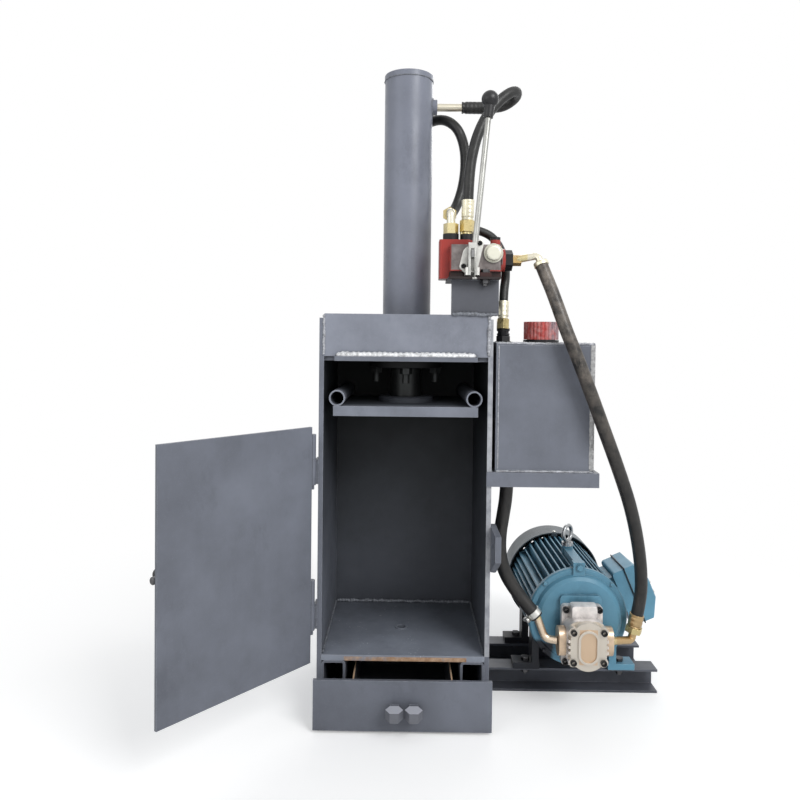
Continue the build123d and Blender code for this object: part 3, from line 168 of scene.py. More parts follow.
class Nodes:
    """Adds nodes to a tree. Its methods return output sockets, apart from node itself."""

    def __init__(self, tree):
        self.tree = tree

    def node(self, kind, inputs=None, **settings):
        made = self.tree.nodes.new(kind)
        for key, value in settings.items():
            setattr(made, key, value)
        for key, value in (inputs or {}).items():
            if isinstance(value, bpy.types.NodeSocket):
                self.tree.links.new(value, made.inputs[key])
            else:
                made.inputs[key].default_value = value
        return made

    def maths(self, kind, first, second):
        return self.node("ShaderNodeMath", {0: first, 1: second}, operation=kind, use_clamp=True).outputs[0]

    def times(self, first, second):
        return self.maths("MULTIPLY", first, second)


class Material(Nodes):
    """A material built on one Principled shader."""

    def __init__(self, name):
        self.data = bpy.data.materials.new(name)
        self.data.use_nodes = True
        super().__init__(self.data.node_tree)
        self.surface = self.tree.nodes["Principled BSDF"]
        self.place = self.node("ShaderNodeTexCoord").outputs["Object"]

    def set(self, key, value):
        if isinstance(value, bpy.types.NodeSocket):
            self.tree.links.new(value, self.surface.inputs[key])
        else:
            self.surface.inputs[key].default_value = value

    def along(self, axis):
        """The place along x, y or z, in metres of the frame."""
        return self.node("ShaderNodeSeparateXYZ", {0: self.place}).outputs["XYZ".index(axis)]

    def noise(self, scale, detail, rough, stretch=(1, 1, 1), shift=(0, 0, 0)):
        moved = self.node("ShaderNodeMapping", {"Vector": self.place, "Scale": stretch, "Location": shift})
        return self.node("ShaderNodeTexNoise", {"Vector": moved.outputs[0], "Scale": scale,
                                                "Detail": detail, "Roughness": rough}).outputs["Fac"]

    def span(self, value, low, high, out_low=0.0, out_high=1.0):
        return self.node("ShaderNodeMapRange", {"Value": value, "From Min": low, "From Max": high,
                                                "To Min": out_low, "To Max": out_high}).outputs[0]

    def patches(self, scale, detail, rough, low, high, out_low=0.0, out_high=1.0, **where):
        """Noise, spread between two of its levels."""
        return self.span(self.noise(scale, detail, rough, **where), low, high, out_low, out_high)

    def mix(self, amount, first, second):
        return self.node("ShaderNodeMix", {0: amount, 6: first, 7: second}, data_type="RGBA").outputs[2]

    def edges(self, radius, low=0.03, high=0.2):
        """1 along sharp edges."""
        soft = self.node("ShaderNodeBevel", {"Radius": radius}, samples=4).outputs[0]
        true = self.node("ShaderNodeNewGeometry").outputs["Normal"]
        same = self.node("ShaderNodeVectorMath", {0: soft, 1: true}, operation="DOT_PRODUCT")
        return self.span(same.outputs["Value"], 1 - low, 1 - high)

    def hollows(self, distance, low=0.35, high=0.85):
        """1 in corners and recesses."""
        near = self.node("ShaderNodeAmbientOcclusion", {"Distance": distance}, samples=6)
        return self.span(near.outputs["AO"], high, low)

    def bump(self, height, distance, strength, radius=0.0):
        inputs = {"Height": height, "Distance": distance, "Strength": strength}
        if radius:
            inputs["Normal"] = self.node("ShaderNodeBevel", {"Radius": radius}, samples=4).outputs[0]
        self.set("Normal", self.node("ShaderNodeBump", inputs).outputs[0])

    def zone(self, low, high, soft=0.6):
        """1 inside a box of the press, whose corners are in millimetres. soft is the width of
        its fading edge, or one width for each axis."""
        low, high = at(*low), at(*high)
        fades = [part / 1000 for part in (soft if isinstance(soft, tuple) else (soft,) * 3)]
        inside = None
        for axis, fade in enumerate(fades):
            place = self.along("XYZ"[axis])
            enter = self.span(place, low[axis] - fade, low[axis])
            leave = self.span(place, high[axis] + fade, high[axis])
            both = self.times(enter, leave)
            inside = both if inside is None else self.times(inside, both)
        return inside

    def recolour(self, amount, tone, rough=None, polish=None):
        """Lays another tone, and if asked another gloss, over part of the surface."""
        for key, value in (("Base Color", tone), ("Roughness", rough), ("Metallic", polish)):
            if value is None:
                continue
            socket = self.surface.inputs[key]
            before = socket.links[0].from_socket if socket.links else socket.default_value
            if key == "Base Color":
                self.set(key, self.mix(amount, before, tone))
            else:
                made = self.node("ShaderNodeMix", {0: amount, 2: before, 3: value}, data_type="FLOAT")
                self.set(key, made.outputs[0])


def paint(name, base, rough=0.42, contrast=0.10, edge=0.6, edge_tone=(176, 180, 188), recess_grime_shade=0.45,
          shade_grime_tone=(40, 40, 42), shade=0.3, coat=0.0):
    """Sprayed enamel over steel: cloudy tone, faint runs, pale edges that are partly rubbed paint and partly
    painted edge highlight, painted shade in wide corners, and grime with painted shade in small recesses.
    """
    m = Material(name)
    light, dark, shade_grime_colour = scaled(base, 1 + contrast), scaled(base, 1 - contrast), colour(*shade_grime_tone)
    tone = m.mix(m.patches(5.0, 5, 0.6, 0.32, 0.68), dark, light)
    runs = m.patches(9.0, 3, 0.5, 0.52, 0.75, stretch=(3.2, 3.2, 0.35))
    tone = m.mix(m.times(runs, 0.25), tone, light)
    smears = m.patches(14.0, 6, 0.7, 0.56, 0.72, stretch=(1, 1, 0.6), shift=(3.1, 1.7, 0.4))
    tone = m.mix(m.times(smears, 0.35), tone, scaled(base, 0.74))
    tone = m.mix(m.times(m.patches(340, 2, 0.5, 0.6, 0.74), 0.4), tone, light)
    # Painted shade: darker in wide corners and recesses, found by ambient occlusion.
    tone = m.mix(m.times(m.hollows(0.16, 0.15, 0.9), shade), tone, shade_grime_colour)
    # Grime in small recesses, with painted shade there as well.
    dirt_and_shade = m.times(m.hollows(0.03), m.patches(30, 5, 0.65, 0.35, 0.62))
    tone = m.mix(m.times(dirt_and_shade, recess_grime_shade), tone, shade_grime_colour)
    # Pale edges: rubbed paint, and a painted edge highlight as well.
    worn_highlit_edges = m.times(m.edges(0.0022), m.patches(46, 4, 0.7, 0.38, 0.56, 0.15, 1.0))
    tone = m.mix(m.times(worn_highlit_edges, edge), tone, colour(*edge_tone))
    m.set("Base Color", tone)
    m.set("Roughness", m.patches(22, 4, 0.6, 0.3, 0.7, rough - 0.07, rough + 0.09))
    m.set("Coat Weight", coat)
    m.set("Coat Roughness", 0.18)
    m.set("Specular IOR Level", 0.35)
    m.bump(m.noise(420, 2, 0.5), 0.00012, 0.6, 0.0014)
    return m


def metal(name, base, rough=0.3, contrast=0.08, stain_and_shade_tone=(60, 58, 52), stain_and_shade=0.35, stretch=(1, 1, 1),
          depth=0.00004, polish=1.0):
    """Bare or plated metal with machining grain, and stains with painted shade in the corners."""
    m = Material(name)
    tone = m.mix(m.patches(26, 4, 0.6, 0.35, 0.65), scaled(base, 1 - contrast), scaled(base, 1 + contrast))
    grain = m.noise(260, 3, 0.6, stretch=stretch)
    # Stains in small recesses, with painted shade there as well.
    dirt_and_shade = m.times(m.hollows(0.012), m.patches(90, 4, 0.7, 0.3, 0.6))
    m.set("Base Color", m.mix(m.times(dirt_and_shade, stain_and_shade), tone, colour(*stain_and_shade_tone)))
    m.set("Metallic", polish)
    m.set("Roughness", m.span(grain, 0.3, 0.7, rough - 0.06, rough + 0.1))
    m.bump(grain, depth, 0.5, 0.0008)
    return m


def plastic(name, base, rough=0.35, worn=(90, 90, 92), wear=0.25):
    """Moulded plastic with fine grain and dusty, rubbed high spots, which on the red cap stand for painted
    highlights as well.
    """
    m = Material(name)
    tone = m.mix(m.patches(40, 4, 0.6, 0.35, 0.65), colour(*base), scaled(base, 1.12))
    # Pale edges: rubbed wear, and on the red cap a painted highlight as well.
    worn_highlit_edges = m.times(m.edges(0.0012), m.patches(80, 4, 0.7, 0.45, 0.6))
    m.set("Base Color", m.mix(m.times(worn_highlit_edges, wear), tone, colour(*worn)))
    m.set("Roughness", m.patches(60, 4, 0.6, 0.3, 0.7, rough - 0.06, rough + 0.1))
    m.bump(m.noise(500, 2, 0.5), 0.00004, 0.6, 0.0008)
    return m


def rubber(name, base, dusty, amount, low=0.0, high=0.001, least=1.0):
    """Cloth-marked hose rubber with dust in patches. Below low the dust falls to its least share."""
    m = Material(name)
    cloth = m.node("ShaderNodeTexWave", {"Vector": m.place, "Scale": 260, "Distortion": 2.5, "Detail": 2},
                   bands_direction="DIAGONAL").outputs["Fac"]
    cover = m.times(m.span(m.along("Z"), low, high, least, 1), amount)
    tone = m.mix(m.times(m.patches(34, 5, 0.65, 0.36, 0.64), cover), colour(*base), colour(*dusty))
    scuffs = m.patches(120, 4, 0.7, 0.56, 0.72, stretch=(1, 1, 0.3))
    m.set("Base Color", m.mix(m.times(scuffs, cover), tone, colour(*dusty)))
    m.set("Roughness", m.patches(60, 3, 0.6, 0.3, 0.7, 0.32, 0.5))
    m.set("Specular IOR Level", 0.5)
    m.bump(cloth, 0.0002, 0.25)
    return m


def weld(name, base, darkening=0.6):
    """Weld metal under a thin coat of paint, with spatter and sooty hollows."""
    m = Material(name)
    tone = m.mix(m.patches(120, 5, 0.7, 0.35, 0.65), scaled(base, 0.72), colour(*base))
    spatter = m.times(m.patches(260, 3, 0.6, 0.58, 0.66), darkening)
    m.set("Base Color", m.mix(spatter, tone, colour(44, 44, 46)))
    m.set("Roughness", m.patches(90, 4, 0.6, 0.3, 0.7, 0.36, 0.6))
    m.set("Metallic", 0.1)
    m.bump(m.noise(190, 4, 0.7), 0.0006, 0.9)
    return m


GREY = (108, 112, 122)


def chamber_paint():
    """Plates round the chamber: painted shade inside, deeper toward the roof, but less on the left wall. The
    front edge of the right plate is paler in patches."""
    m = paint("chamber_enamel", GREY)
    inside = m.zone((-CHAMBER_SIDE - 0.4, 1.5, FLOOR_TOP),
                    (CHAMBER_SIDE + 0.4, CHAMBER_BACK + 0.4, PLATE_BOTTOM), 0.4)
    # Painted shade inside the chamber, deeper toward the roof and lighter on the left wall.
    darkening = m.span(m.along("Z"), 0.2, 0.62, 0.5, 0.95)
    left_wall = m.span(m.along("X"), at(1 - CHAMBER_SIDE, 0, 0).x, at(0.2 - CHAMBER_SIDE, 0, 0).x)
    less_shade_on_left = m.times(left_wall, m.span(m.along("Z"), 0.25, 0.62, 0.46, 0.06))
    darkening = m.times(m.maths("SUBTRACT", darkening, less_shade_on_left), m.patches(7, 4, 0.6, 0.3, 0.7, 0.94, 1.04))
    m.recolour(m.times(inside, darkening), colour(8, 13, 15), rough=0.6)
    # Paler patches along the front edge of the right plate.
    edge = m.zone((CHAMBER_SIDE - 0.1, -1, FLOOR_TOP), (CABINET_SIDE + 0.5, 0.8, CABINET_TOP + 1), 0.2)
    m.recolour(m.times(edge, m.patches(24, 5, 0.7, 0.3, 0.62, 0.1, 0.8)), colour(186, 188, 192))
    return m


def roof_paint():
    """The cylinder plate, with painted shade below it and at the two ends of its front edge."""
    m = paint("roof_enamel", GREY)
    ends = CHAMBER_SIDE + 2
    # Painted shade under the plate and at the ends of its front edge.
    for low, high in (((-400, -12, 700), (400, 400, PLATE_BOTTOM + 0.3)),
                      ((-ends, -1, 700), (-147, 9, PLATE_TOP + 0.4)),
                      ((147, -1, 700), (ends, 9, PLATE_TOP + 0.4))):
        m.recolour(m.zone(low, high, 0.3), colour(10, 11, 12), rough=0.6)
    return m


def cylinder_paint():
    """The cylinder, with painted shade under its flange."""
    m = paint("cylinder_enamel", (122, 126, 138), rough=0.34, shade=0.1)
    # Painted shade under the flange.
    m.recolour(m.zone((-90, 60, 735), (90, 250, PLATE_BOTTOM + 1), 0.4), colour(12, 13, 14), rough=0.6)
    return m


def platen_paint():
    """The platen, with painted shade above and toward the rear."""
    m = paint("platen_enamel", (116, 120, 130), contrast=0.14)
    # Painted shade over the rear of the platen's top.
    rear = m.zone((-152, 60, 653), (152, CHAMBER_BACK, 700), (0.5, 40, 2))
    m.recolour(rear, colour(60, 63, 70), rough=0.6)
    return m


def drawer_paint():
    """The drawer front, whose two hexagonal grips have a painted highlight on their upward faces."""
    m = paint("pull_enamel", GREY)
    normal = m.node("ShaderNodeNewGeometry").outputs["Normal"]
    upward = m.node("ShaderNodeSeparateXYZ", {0: normal}).outputs["Z"]
    # Painted highlight: faces of the grips that point up are lighter.
    tone = m.mix(m.span(upward, 0.1, 0.9), colour(108, 110, 117), colour(188, 190, 199))
    m.recolour(m.zone((-60, -100, 0), (60, -52, 110), 1), tone, rough=0.35)
    return m


def bracket_paint():
    """The valve bracket, dark along the front edge of its table."""
    m = paint("bracket_enamel", (88, 90, 97))
    m.recolour(m.zone((80, -30, 923), (200, -10, 932), 1), colour(40, 32, 32))
    return m


def floor_paint():
    """The chamber floor: painted shade toward the rear, chipped, with a bare, rusty strip low on its front
    edge."""
    m = paint("floor_enamel", (140, 146, 158))
    # Painted shade toward the rear of the chamber.
    m.recolour(m.span(m.along("Y"), -0.06, 0.19, 0, 0.55), colour(34, 37, 42))
    chips = m.times(m.patches(230, 2, 0.6, 0.66, 0.7), m.patches(13, 4, 0.7, 0.5, 0.66))
    m.recolour(chips, colour(206, 212, 222))
    strip = m.zone((-122, -30, 126), (132, 2.5, FLOOR_TOP - 4), 1.5)
    rust = m.mix(m.patches(60, 5, 0.7, 0.3, 0.7), colour(134, 96, 66), colour(200, 170, 142))
    m.recolour(m.times(strip, m.patches(28, 4, 0.7, 0.3, 0.5)), rust, rough=0.7)
    return m


def tray_paint():
    """The drawer tray, rusty along its lip."""
    m = paint("tray_enamel", (84, 86, 92))
    lip = m.times(m.zone((-400, -400, 99.5), (400, 400, 110)), m.patches(50, 4, 0.7, 0.25, 0.5))
    m.recolour(lip, colour(198, 168, 138), rough=0.7)
    return m


def cap_plastic():
    """The red cap, with pale patches and pale edges that are partly chalky wear and partly painted highlight,
    and grey overspray on its right side.
    """
    m = plastic("red_moulding", (190, 74, 68), rough=0.5, worn=(222, 196, 190), wear=0.7)
    spray = m.times(m.zone((322, 60, 700), (380, 260, 900), 14), m.patches(70, 4, 0.6, 0.3, 0.55))
    m.recolour(m.times(spray, 0.85), colour(128, 128, 136), rough=0.6)
    # Pale patches: chalky wear, and painted highlights as well.
    m.recolour(m.times(m.patches(90, 4, 0.7, 0.42, 0.66), 0.6), colour(222, 178, 174))
    return m


def valve_casting():
    """The valve body: red, with a bare machined front face and a darker foot."""
    m = paint("valve_casting", (166, 56, 48), rough=0.34, edge=0.35, edge_tone=(196, 130, 120),
              recess_grime_shade=0.6, shade_grime_tone=(38, 20, 18), coat=0.15)
    machined = m.mix(m.patches(60, 4, 0.6, 0.35, 0.65), colour(104, 96, 94), colour(138, 130, 128))
    m.recolour(m.zone((89, -2, 948), (197.5, 8, 1001.5), 1.0), machined, rough=0.46, polish=0.35)
    # A darker foot.
    m.recolour(m.zone((89, -30, 929), (197, 40, 944.5), 1.0), colour(52, 22, 20))
    return m


def valve_fittings():
    """Caps and nuts of the valve: black, apart from the relief dome and the plate round it."""
    m = metal("valve_fittings", (34, 34, 36), rough=0.4, polish=0.5, stain_and_shade_tone=(12, 12, 12))
    m.recolour(m.zone((158, -12, 960), (198, 2, 1004)), colour(226, 224, 208), rough=0.34, polish=0.45)
    plate = m.zone((150, 1.2, 955), (203, 6.5, 1010), 0.3)
    m.recolour(plate, colour(126, 126, 124), rough=0.4, polish=0.8)
    return m


# Rigid pipes and adapters that are plated otherwise: two corners, the fading edge, the tone,
# the roughness and the polish
PIPE_ZONES = (
    ((60, 20, 1013), (160, 90, 1028.3), 0.3, (30, 30, 32), 0.5, 0.3),
    ((60, 20, 1051), (118, 140, 1100), 0.5, (232, 228, 212), None, 0.75),
    ((50, 140, 1300), (160, 170, 1360), 0.6, (214, 208, 190), 0.36, None),
    ((252, -20, 940), (290, 40, 1000), 3, (232, 226, 206), None, 0.75),
    ((201, 20, 950), (252, 40, 992), 1, (196, 166, 112), None, None),
    ((190, 20, 795), (222, 70, 850), 0.6, (26, 26, 28), 0.45, 0.3),
    ((462, 20, 130), (530, 110, 190), 12, (192, 164, 122), None, None),
    ((280, 30, 130), (346, 110, 200), 4, (226, 206, 182), None, None),
    ((200, 40, 500), (250, 100, 540), 0.6, (86, 88, 94), 0.5, 0.2),
)


def pipe_plating():
    m = metal("pipe_plating", (222, 208, 160), contrast=0.05, stain_and_shade_tone=(118, 96, 56), polish=0.9)
    for low, high, soft, tone, rough, polish in PIPE_ZONES:
        m.recolour(m.zone(low, high, soft), colour(*tone), rough, polish)
    return m


def aluminium():
    """The pump casting, with a smoother cover and a tan machined flat in its raised rim."""
    m = metal("cast_aluminium", (226, 221, 218), rough=0.5, contrast=0.1, depth=0.00022, stain_and_shade=0.7,
              stain_and_shade_tone=(74, 68, 66), polish=0.5)
    m.recolour(m.zone((350, 2, 100), (430, 28, 220)), colour(206, 198, 186), rough=0.42)
    flat = m.zone((371, 10.5, 122), (409, 12.6, 196), 0.3)
    m.recolour(flat, colour(208, 182, 154), rough=0.38, polish=0.5)
    return m


def motor_paint():
    """The motor, blue, with painted shade on its left foot, its rear feet and in the gaps of its fins."""
    # The dark blue recess tone paints shade into the gaps of the fins.
    m = paint("motor_enamel", (97, 147, 171), rough=0.36, contrast=0.06, edge=0.45,
              edge_tone=(172, 204, 216), recess_grime_shade=0.7, shade_grime_tone=(12, 30, 40), shade=0.12)
    # Painted shade on the left foot and the rear feet.
    m.recolour(m.zone((200, 90, 40), (330, 330, 130), 8), colour(30, 33, 41))
    m.recolour(m.zone((250, 255, 40), (530, 330, 128), 4), colour(33, 34, 40))
    return m


materials = {
    "grey_paint": paint("grey_enamel", GREY),
    "header_paint": paint("header_enamel", (130, 134, 145), contrast=0.12),
    "dark_paint": paint("dark_enamel", (88, 91, 100), contrast=0.14, edge_tone=(140, 142, 150), edge=0.5),
    "cowl_paint": paint("cowl_enamel", (66, 78, 86), rough=0.3, contrast=0.22, edge=0.5,
                        edge_tone=(200, 206, 208), shade=0.2),
    "chamber_paint": chamber_paint(),
    "roof_paint": roof_paint(),
    "cylinder_paint": cylinder_paint(),
    "platen_paint": platen_paint(),
    "drawer_paint": drawer_paint(),
    "bracket_paint": bracket_paint(),
    "floor_paint": floor_paint(),
    "tray_paint": tray_paint(),
    "motor_paint": motor_paint(),
    "valve_casting": valve_casting(),
    "valve_fittings": valve_fittings(),
    "pipe_plating": pipe_plating(),
    "aluminium": aluminium(),
    "red_plastic": cap_plastic(),
    "black_plastic": plastic("black_moulding", (24, 24, 26)),
    "bare_steel": metal("turned_steel", (150, 150, 150), stain_and_shade=0.6),
    "oily_steel": metal("oily_steel", (96, 96, 98), rough=0.34, stain_and_shade_tone=(24, 23, 22), stain_and_shade=0.85),
    # Painted shadow: the rod, its gland and the flange bolts get a dark steel that stands for the shade they
    # sit in.
    "shadowed_steel": metal("shadowed_steel", (58, 60, 60), rough=0.42, stain_and_shade_tone=(10, 10, 10), stain_and_shade=0.9, polish=0.7),
    "eye_steel": metal("bare_forging", (176, 178, 180), stain_and_shade_tone=(40, 52, 58), stain_and_shade=0.7),
    "lever_steel": metal("satin_steel", (168, 168, 164), rough=0.34, stain_and_shade_tone=(96, 92, 84), stain_and_shade=0.5,
                         stretch=(1, 1, 0.05)),
    "black_steel": metal("black_oxide", (34, 34, 36), rough=0.36, polish=0.6, stain_and_shade_tone=(12, 12, 12)),
    "zinc": metal("zinc_plate", (196, 196, 192), rough=0.34),
    "white_zinc": metal("white_zinc_casting", (222, 221, 216), rough=0.5, polish=0.55, stain_and_shade_tone=(60, 56, 50),
                        stain_and_shade=0.6, depth=0.0001),
    "yellow_zinc": metal("yellow_zinc_plate", (218, 200, 146), contrast=0.06, stain_and_shade_tone=(118, 96, 56)),
    "brass": metal("brassy_zinc_plate", (188, 162, 122), rough=0.34, stain_and_shade_tone=(70, 54, 36), stain_and_shade=0.6),
    "cream_zinc": metal("pale_zinc_plate", (228, 222, 198), rough=0.34, polish=0.8, stain_and_shade_tone=(110, 100, 80)),
    "tan_zinc": metal("tarnished_plate", (214, 190, 164), rough=0.36, polish=0.8, stain_and_shade_tone=(96, 72, 52),
                      stain_and_shade=0.7),
    "hose_rubber": rubber("clean_hose", (17, 18, 18), (66, 66, 64), 0.3),
    "dusty_rubber": rubber("dusty_hose", (19, 19, 19), (124, 115, 106), 0.85, 0.5, 0.9, 0.08),
    "weld": weld("painted_weld", (134, 138, 146)),
    "pale_weld": weld("pale_weld", (196, 198, 204)),
    "fillet_weld": weld("fillet_weld", (252, 253, 255), 0.2),
    "sealant": weld("old_sealant", (196, 196, 196)),
}

# CAD nodes that look otherwise than their slot's material. The rest keep their slot's own.
LOOKS = {
    "back_plate": "chamber_paint", "side_plates": "chamber_paint", "cylinder_plate": "roof_paint",
    "front_header": "header_paint", "cylinder_tube": "cylinder_paint", "cylinder_cap": "cylinder_paint",
    "chamber_floor": "floor_paint", "platen": "platen_paint", "platen_pipes": "platen_paint",
    "drawer_front": "drawer_paint", "drawer_tray": "tray_paint", "valve_bracket": "bracket_paint",
    "flange_bolts": "shadowed_steel", "rod_gland": "shadowed_steel", "ram_rod": "shadowed_steel",
    "frame_bolts": "oily_steel", "latch_bolt": "oily_steel", "latch_knob": "black_plastic",
    "lever_rod": "lever_steel", "lever_plate": "white_zinc", "lever_boss": "zinc",
    "valve_body": "valve_casting", "valve_caps": "valve_fittings", "oil_pipes": "pipe_plating",
    "pump_bolts": "black_steel", "pump_port_flanges": "tan_zinc", "lifting_eye": "eye_steel",
    "filler_neck": "black_plastic", "hose_clamps": "zinc",
}
for name, thing in nodes.items():
    own = thing.data.materials[0].name if thing.data.materials else ""
    key = LOOKS.get(name, own.split(".")[0])
    if key in materials:
        thing.data.materials.clear()
        thing.data.materials.append(materials[key].data)
for name, hose in hoses.items():
    key = "dusty_rubber" if name in ("hose_pressure", "hose_suction") else "hose_rubber"
    hose.data.materials.append(materials[key].data)


# Shapes of small pieces
X, Y, Z = (1, 0, 0), (0, 1, 0), (0, 0, 1)
TO_FRONT = (0, -1, 0)


def make(name, mesh, body, key, smooth=True):
    """Turns a mesh in press millimetres into a piece that rides on a body."""
    bmesh.ops.recalc_face_normals(mesh, faces=mesh.faces)
    for vertex in mesh.verts:
        vertex.co = at(*vertex.co)
    data = bpy.data.meshes.new(name)
    mesh.to_mesh(data)
    mesh.free()
    data.polygons.foreach_set("use_smooth", [smooth] * len(data.polygons))
    data.materials.append(materials[key].data)
    thing = bpy.data.objects.new(name, data)
    bpy.context.scene.collection.objects.link(thing)
    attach(thing, body)
    return thing


def lathe(mesh, centre, axis, profile, sides=32, warp=None):
    """Turns (radius, height) pairs about an axis. warp(angle, height) scales the radius."""
    axis = Vector(axis).normalized()
    side = axis.orthogonal().normalized()
    other = axis.cross(side)
    rings = []
    for radius, height in profile:
        middle = Vector(centre) + axis * height
        if radius < 0.001:
            rings.append([mesh.verts.new(middle)])
            continue
        ring = []
        for step in range(sides):
            turn = 2 * math.pi * (step + 0.5) / sides
            reach = radius * (warp(turn, height) if warp else 1)
            ring.append(mesh.verts.new(middle + (side * math.cos(turn) + other * math.sin(turn)) * reach))
        rings.append(ring)
    for first, second in zip(rings, rings[1:]):
        for step in range(sides):
            after = (step + 1) % sides
            corners = [first[step % len(first)], first[after % len(first)],
                       second[after % len(second)], second[step % len(second)]]
            corners = list(dict.fromkeys(corners))
            if len(corners) > 2:
                mesh.faces.new(corners)


def hex_head(mesh, centre, axis, flats, height):
    """A hexagon head with a turned chamfer, and a washer under it."""
    corner = flats / math.sqrt(3)
    washer = corner * 1.12
    lathe(mesh, centre, axis, [(0, 0), (washer, 0), (washer, 1.2), (0, 1.2)], 24)
    lathe(mesh, centre, axis, [(0, 1), (corner, 1), (corner, height - 1), (corner * 0.86, height),
                               (0, height)], 6)


def socket_head(mesh, centre, axis, width, height):
    """A round screw head with a hexagon socket."""
    key = width * 0.29
    rim = width / 2
    lathe(mesh, centre, axis, [(0, 0), (rim, 0), (rim, height - 0.8), (rim - 0.8, height),
                               (key + 0.6, height)], 28)
    lathe(mesh, centre, axis, [(key + 0.6, height), (key, height), (key, height * 0.45),
                               (0, height * 0.45)], 6)


def pan_head(mesh, centre, axis, width, height):
    """A domed screw head with a cross recess cut as a low star."""
    rim = width / 2
    lathe(mesh, centre, axis, [(0, 0), (rim, 0), (rim, height * 0.35), (rim * 0.86, height * 0.75),
                               (rim * 0.5, height), (rim * 0.22, height), (0, height * 0.45)], 20,
          lambda turn, level: 1 - 0.35 * max(0, math.cos(4 * turn)) * (level > height * 0.9))


def bead(mesh, path, radius, ripple=4.2, wobble=0.3, seed=0.0, closed=False, lumps=0.4):
    """A run of weld: a rope of overlapping ripples with an uneven line and size."""
    points = [Vector(point) for point in path]
    if closed:
        points.append(points[0])
    step = max(1.1, radius * 0.42)
    places = []
    for start, end in zip(points, points[1:]):
        count = max(1, round((end - start).length / step))
        places += [(start.lerp(end, k / count), (end - start).normalized()) for k in range(count)]
    if not closed:
        places.append((points[-1], (points[-1] - points[-2]).normalized()))
    sides = 8
    rings = []
    for number, (place, along) in enumerate(places):
        run = number * step
        swell = 0.13 * math.sin(run / ripple * 2 * math.pi)
        size = 1 + swell + lumps * noise.noise(Vector((run / 9, seed, 2.5)))
        from_end = min(number, len(places) - 1 - number)
        taper = 1 if closed else min(1, (0.45 + from_end) / 2.5)
        side = along.cross(Vector(Z if abs(along.z) < 0.9 else X)).normalized()
        top = side.cross(along)
        drift = noise.noise_vector(Vector((run / 14, seed, 7.1))) * radius * wobble
        ring = []
        for corner in range(sides):
            turn = 2 * math.pi * corner / sides
            rough = 1 + 0.12 * noise.noise(Vector((run / 3, corner, seed)))
            way = side * math.cos(turn) + top * math.sin(turn)
            ring.append(mesh.verts.new(place + drift + way * (radius * size * taper * rough)))
        rings.append(ring)
    pairs = list(zip(rings, rings[1:])) + ([(rings[-1], rings[0])] if closed else [])
    for first, second in pairs:
        for corner in range(sides):
            after = (corner + 1) % sides
            mesh.faces.new((first[corner], first[after], second[after], second[corner]))
    if not closed:
        mesh.faces.new(rings[0])
        mesh.faces.new(rings[-1])


def circle(centre, radius, first, second, count=48):
    """Points round a circle, given two unit directions."""
    return [Vector(centre) + (Vector(first) * math.cos(2 * math.pi * k / count)
                              + Vector(second) * math.sin(2 * math.pi * k / count)) * radius
            for k in range(count)]


# Welds, each a list of runs: a path, a radius and what else bead is told
ROUND = {"ripple": 3, "wobble": 0.2, "closed": True}
BOSS_WELD = 18.2
upper_boss = [(math.sqrt(CYLINDER_RADIUS ** 2 - (point.y - CYLINDER_Y) ** 2), point.y, point.z)
              for point in circle((0, CYLINDER_Y, UPPER_PORT_Z), BOSS_WELD, Y, Z)]
lower_boss = [(point.x, CYLINDER_Y + math.sqrt(CYLINDER_RADIUS ** 2 - point.x ** 2), point.z)
              for point in circle((0, CYLINDER_Y + CYLINDER_RADIUS, LOWER_PORT_Z), BOSS_WELD, X, Z)]


def depth_run(x, front, rear, z):
    """A straight path toward the rear."""
    return [(x, front, z), (x, rear, z)]


def width_run(left, right, y, z):
    """A straight path across."""
    return [(left, y, z), (right, y, z)]


def upright_run(x, y, bottom, top):
    """A straight path upward."""
    return [(x, y, bottom), (x, y, top)]


# Foot of the valve bracket, the three inner edges of the chamber floor, and the top and the
# flange of the cylinder
frame_runs = [
    (width_run(93, 189, -0.6, HEADER_TOP + 1), 4.0, {"ripple": 8, "wobble": 0.5, "seed": 4}),
    (width_run(-167, 167, CHAMBER_BACK - 2.5, FLOOR_TOP + 3), 4.0, {"ripple": 7, "wobble": 0.4, "seed": 5}),
    (depth_run(1.5 - CHAMBER_SIDE, 8, 306, FLOOR_TOP + 2.5), 2.4, {"seed": 6}),
    (depth_run(CHAMBER_SIDE - 1.5, 8, 306, FLOOR_TOP + 2.5), 2.4, {"seed": 7}),
    (circle((0, CYLINDER_Y, TUBE_TOP - 0.5), CYLINDER_RADIUS + 0.3, X, Y), 1.5, ROUND | {"seed": 8}),
    (circle((0, CYLINDER_Y, PLATE_TOP + 2.5), CYLINDER_RADIUS + 2, X, Y), 4.4,
     {"ripple": 6, "seed": 9, "closed": True}),
]
for bottom in LEAF_BOTTOMS:
    frame_runs += [
        (upright_run(-182, 30.5, bottom + 2, bottom + LEAF_HEIGHT - 2), 2.6, {"seed": bottom}),
        (depth_run(-186.2, 4, 29, bottom + 0.6), 1.6, {"seed": bottom + 1}),
    ]
# Keeper of the latch, tank shelf, ends of the two beams, and the seams of the back plate
frame_runs += [
    (upright_run(CABINET_SIDE + 1.5, 20.5, 323, 413), 2.6, {"seed": 11}),
    (width_run(192, CABINET_SIDE + 1, 1, 320), 1.8, {"seed": 12}),
    (depth_run(CABINET_SIDE + 1.5, 4, 290, SHELF_TOP - 1), 2.8, {"seed": 13}),
    (depth_run(CABINET_SIDE + 0.5, 146, 189, BEAM_TOP + 0.5), 2.6, {"seed": 14}),
    (depth_run(CABINET_SIDE + 0.5, 276, 309, BEAM_TOP + 0.5), 2.6, {"seed": 15}),
    (upright_run(0.4 - CABINET_SIDE, CHAMBER_BACK, 4, CABINET_TOP - 4), 1.9, {"seed": 16}),
    (upright_run(CABINET_SIDE - 0.4, CHAMBER_BACK, 60, CABINET_TOP - 4), 1.9, {"seed": 17}),
]
TOP_EDGE = {"ripple": 5, "wobble": 0.5}
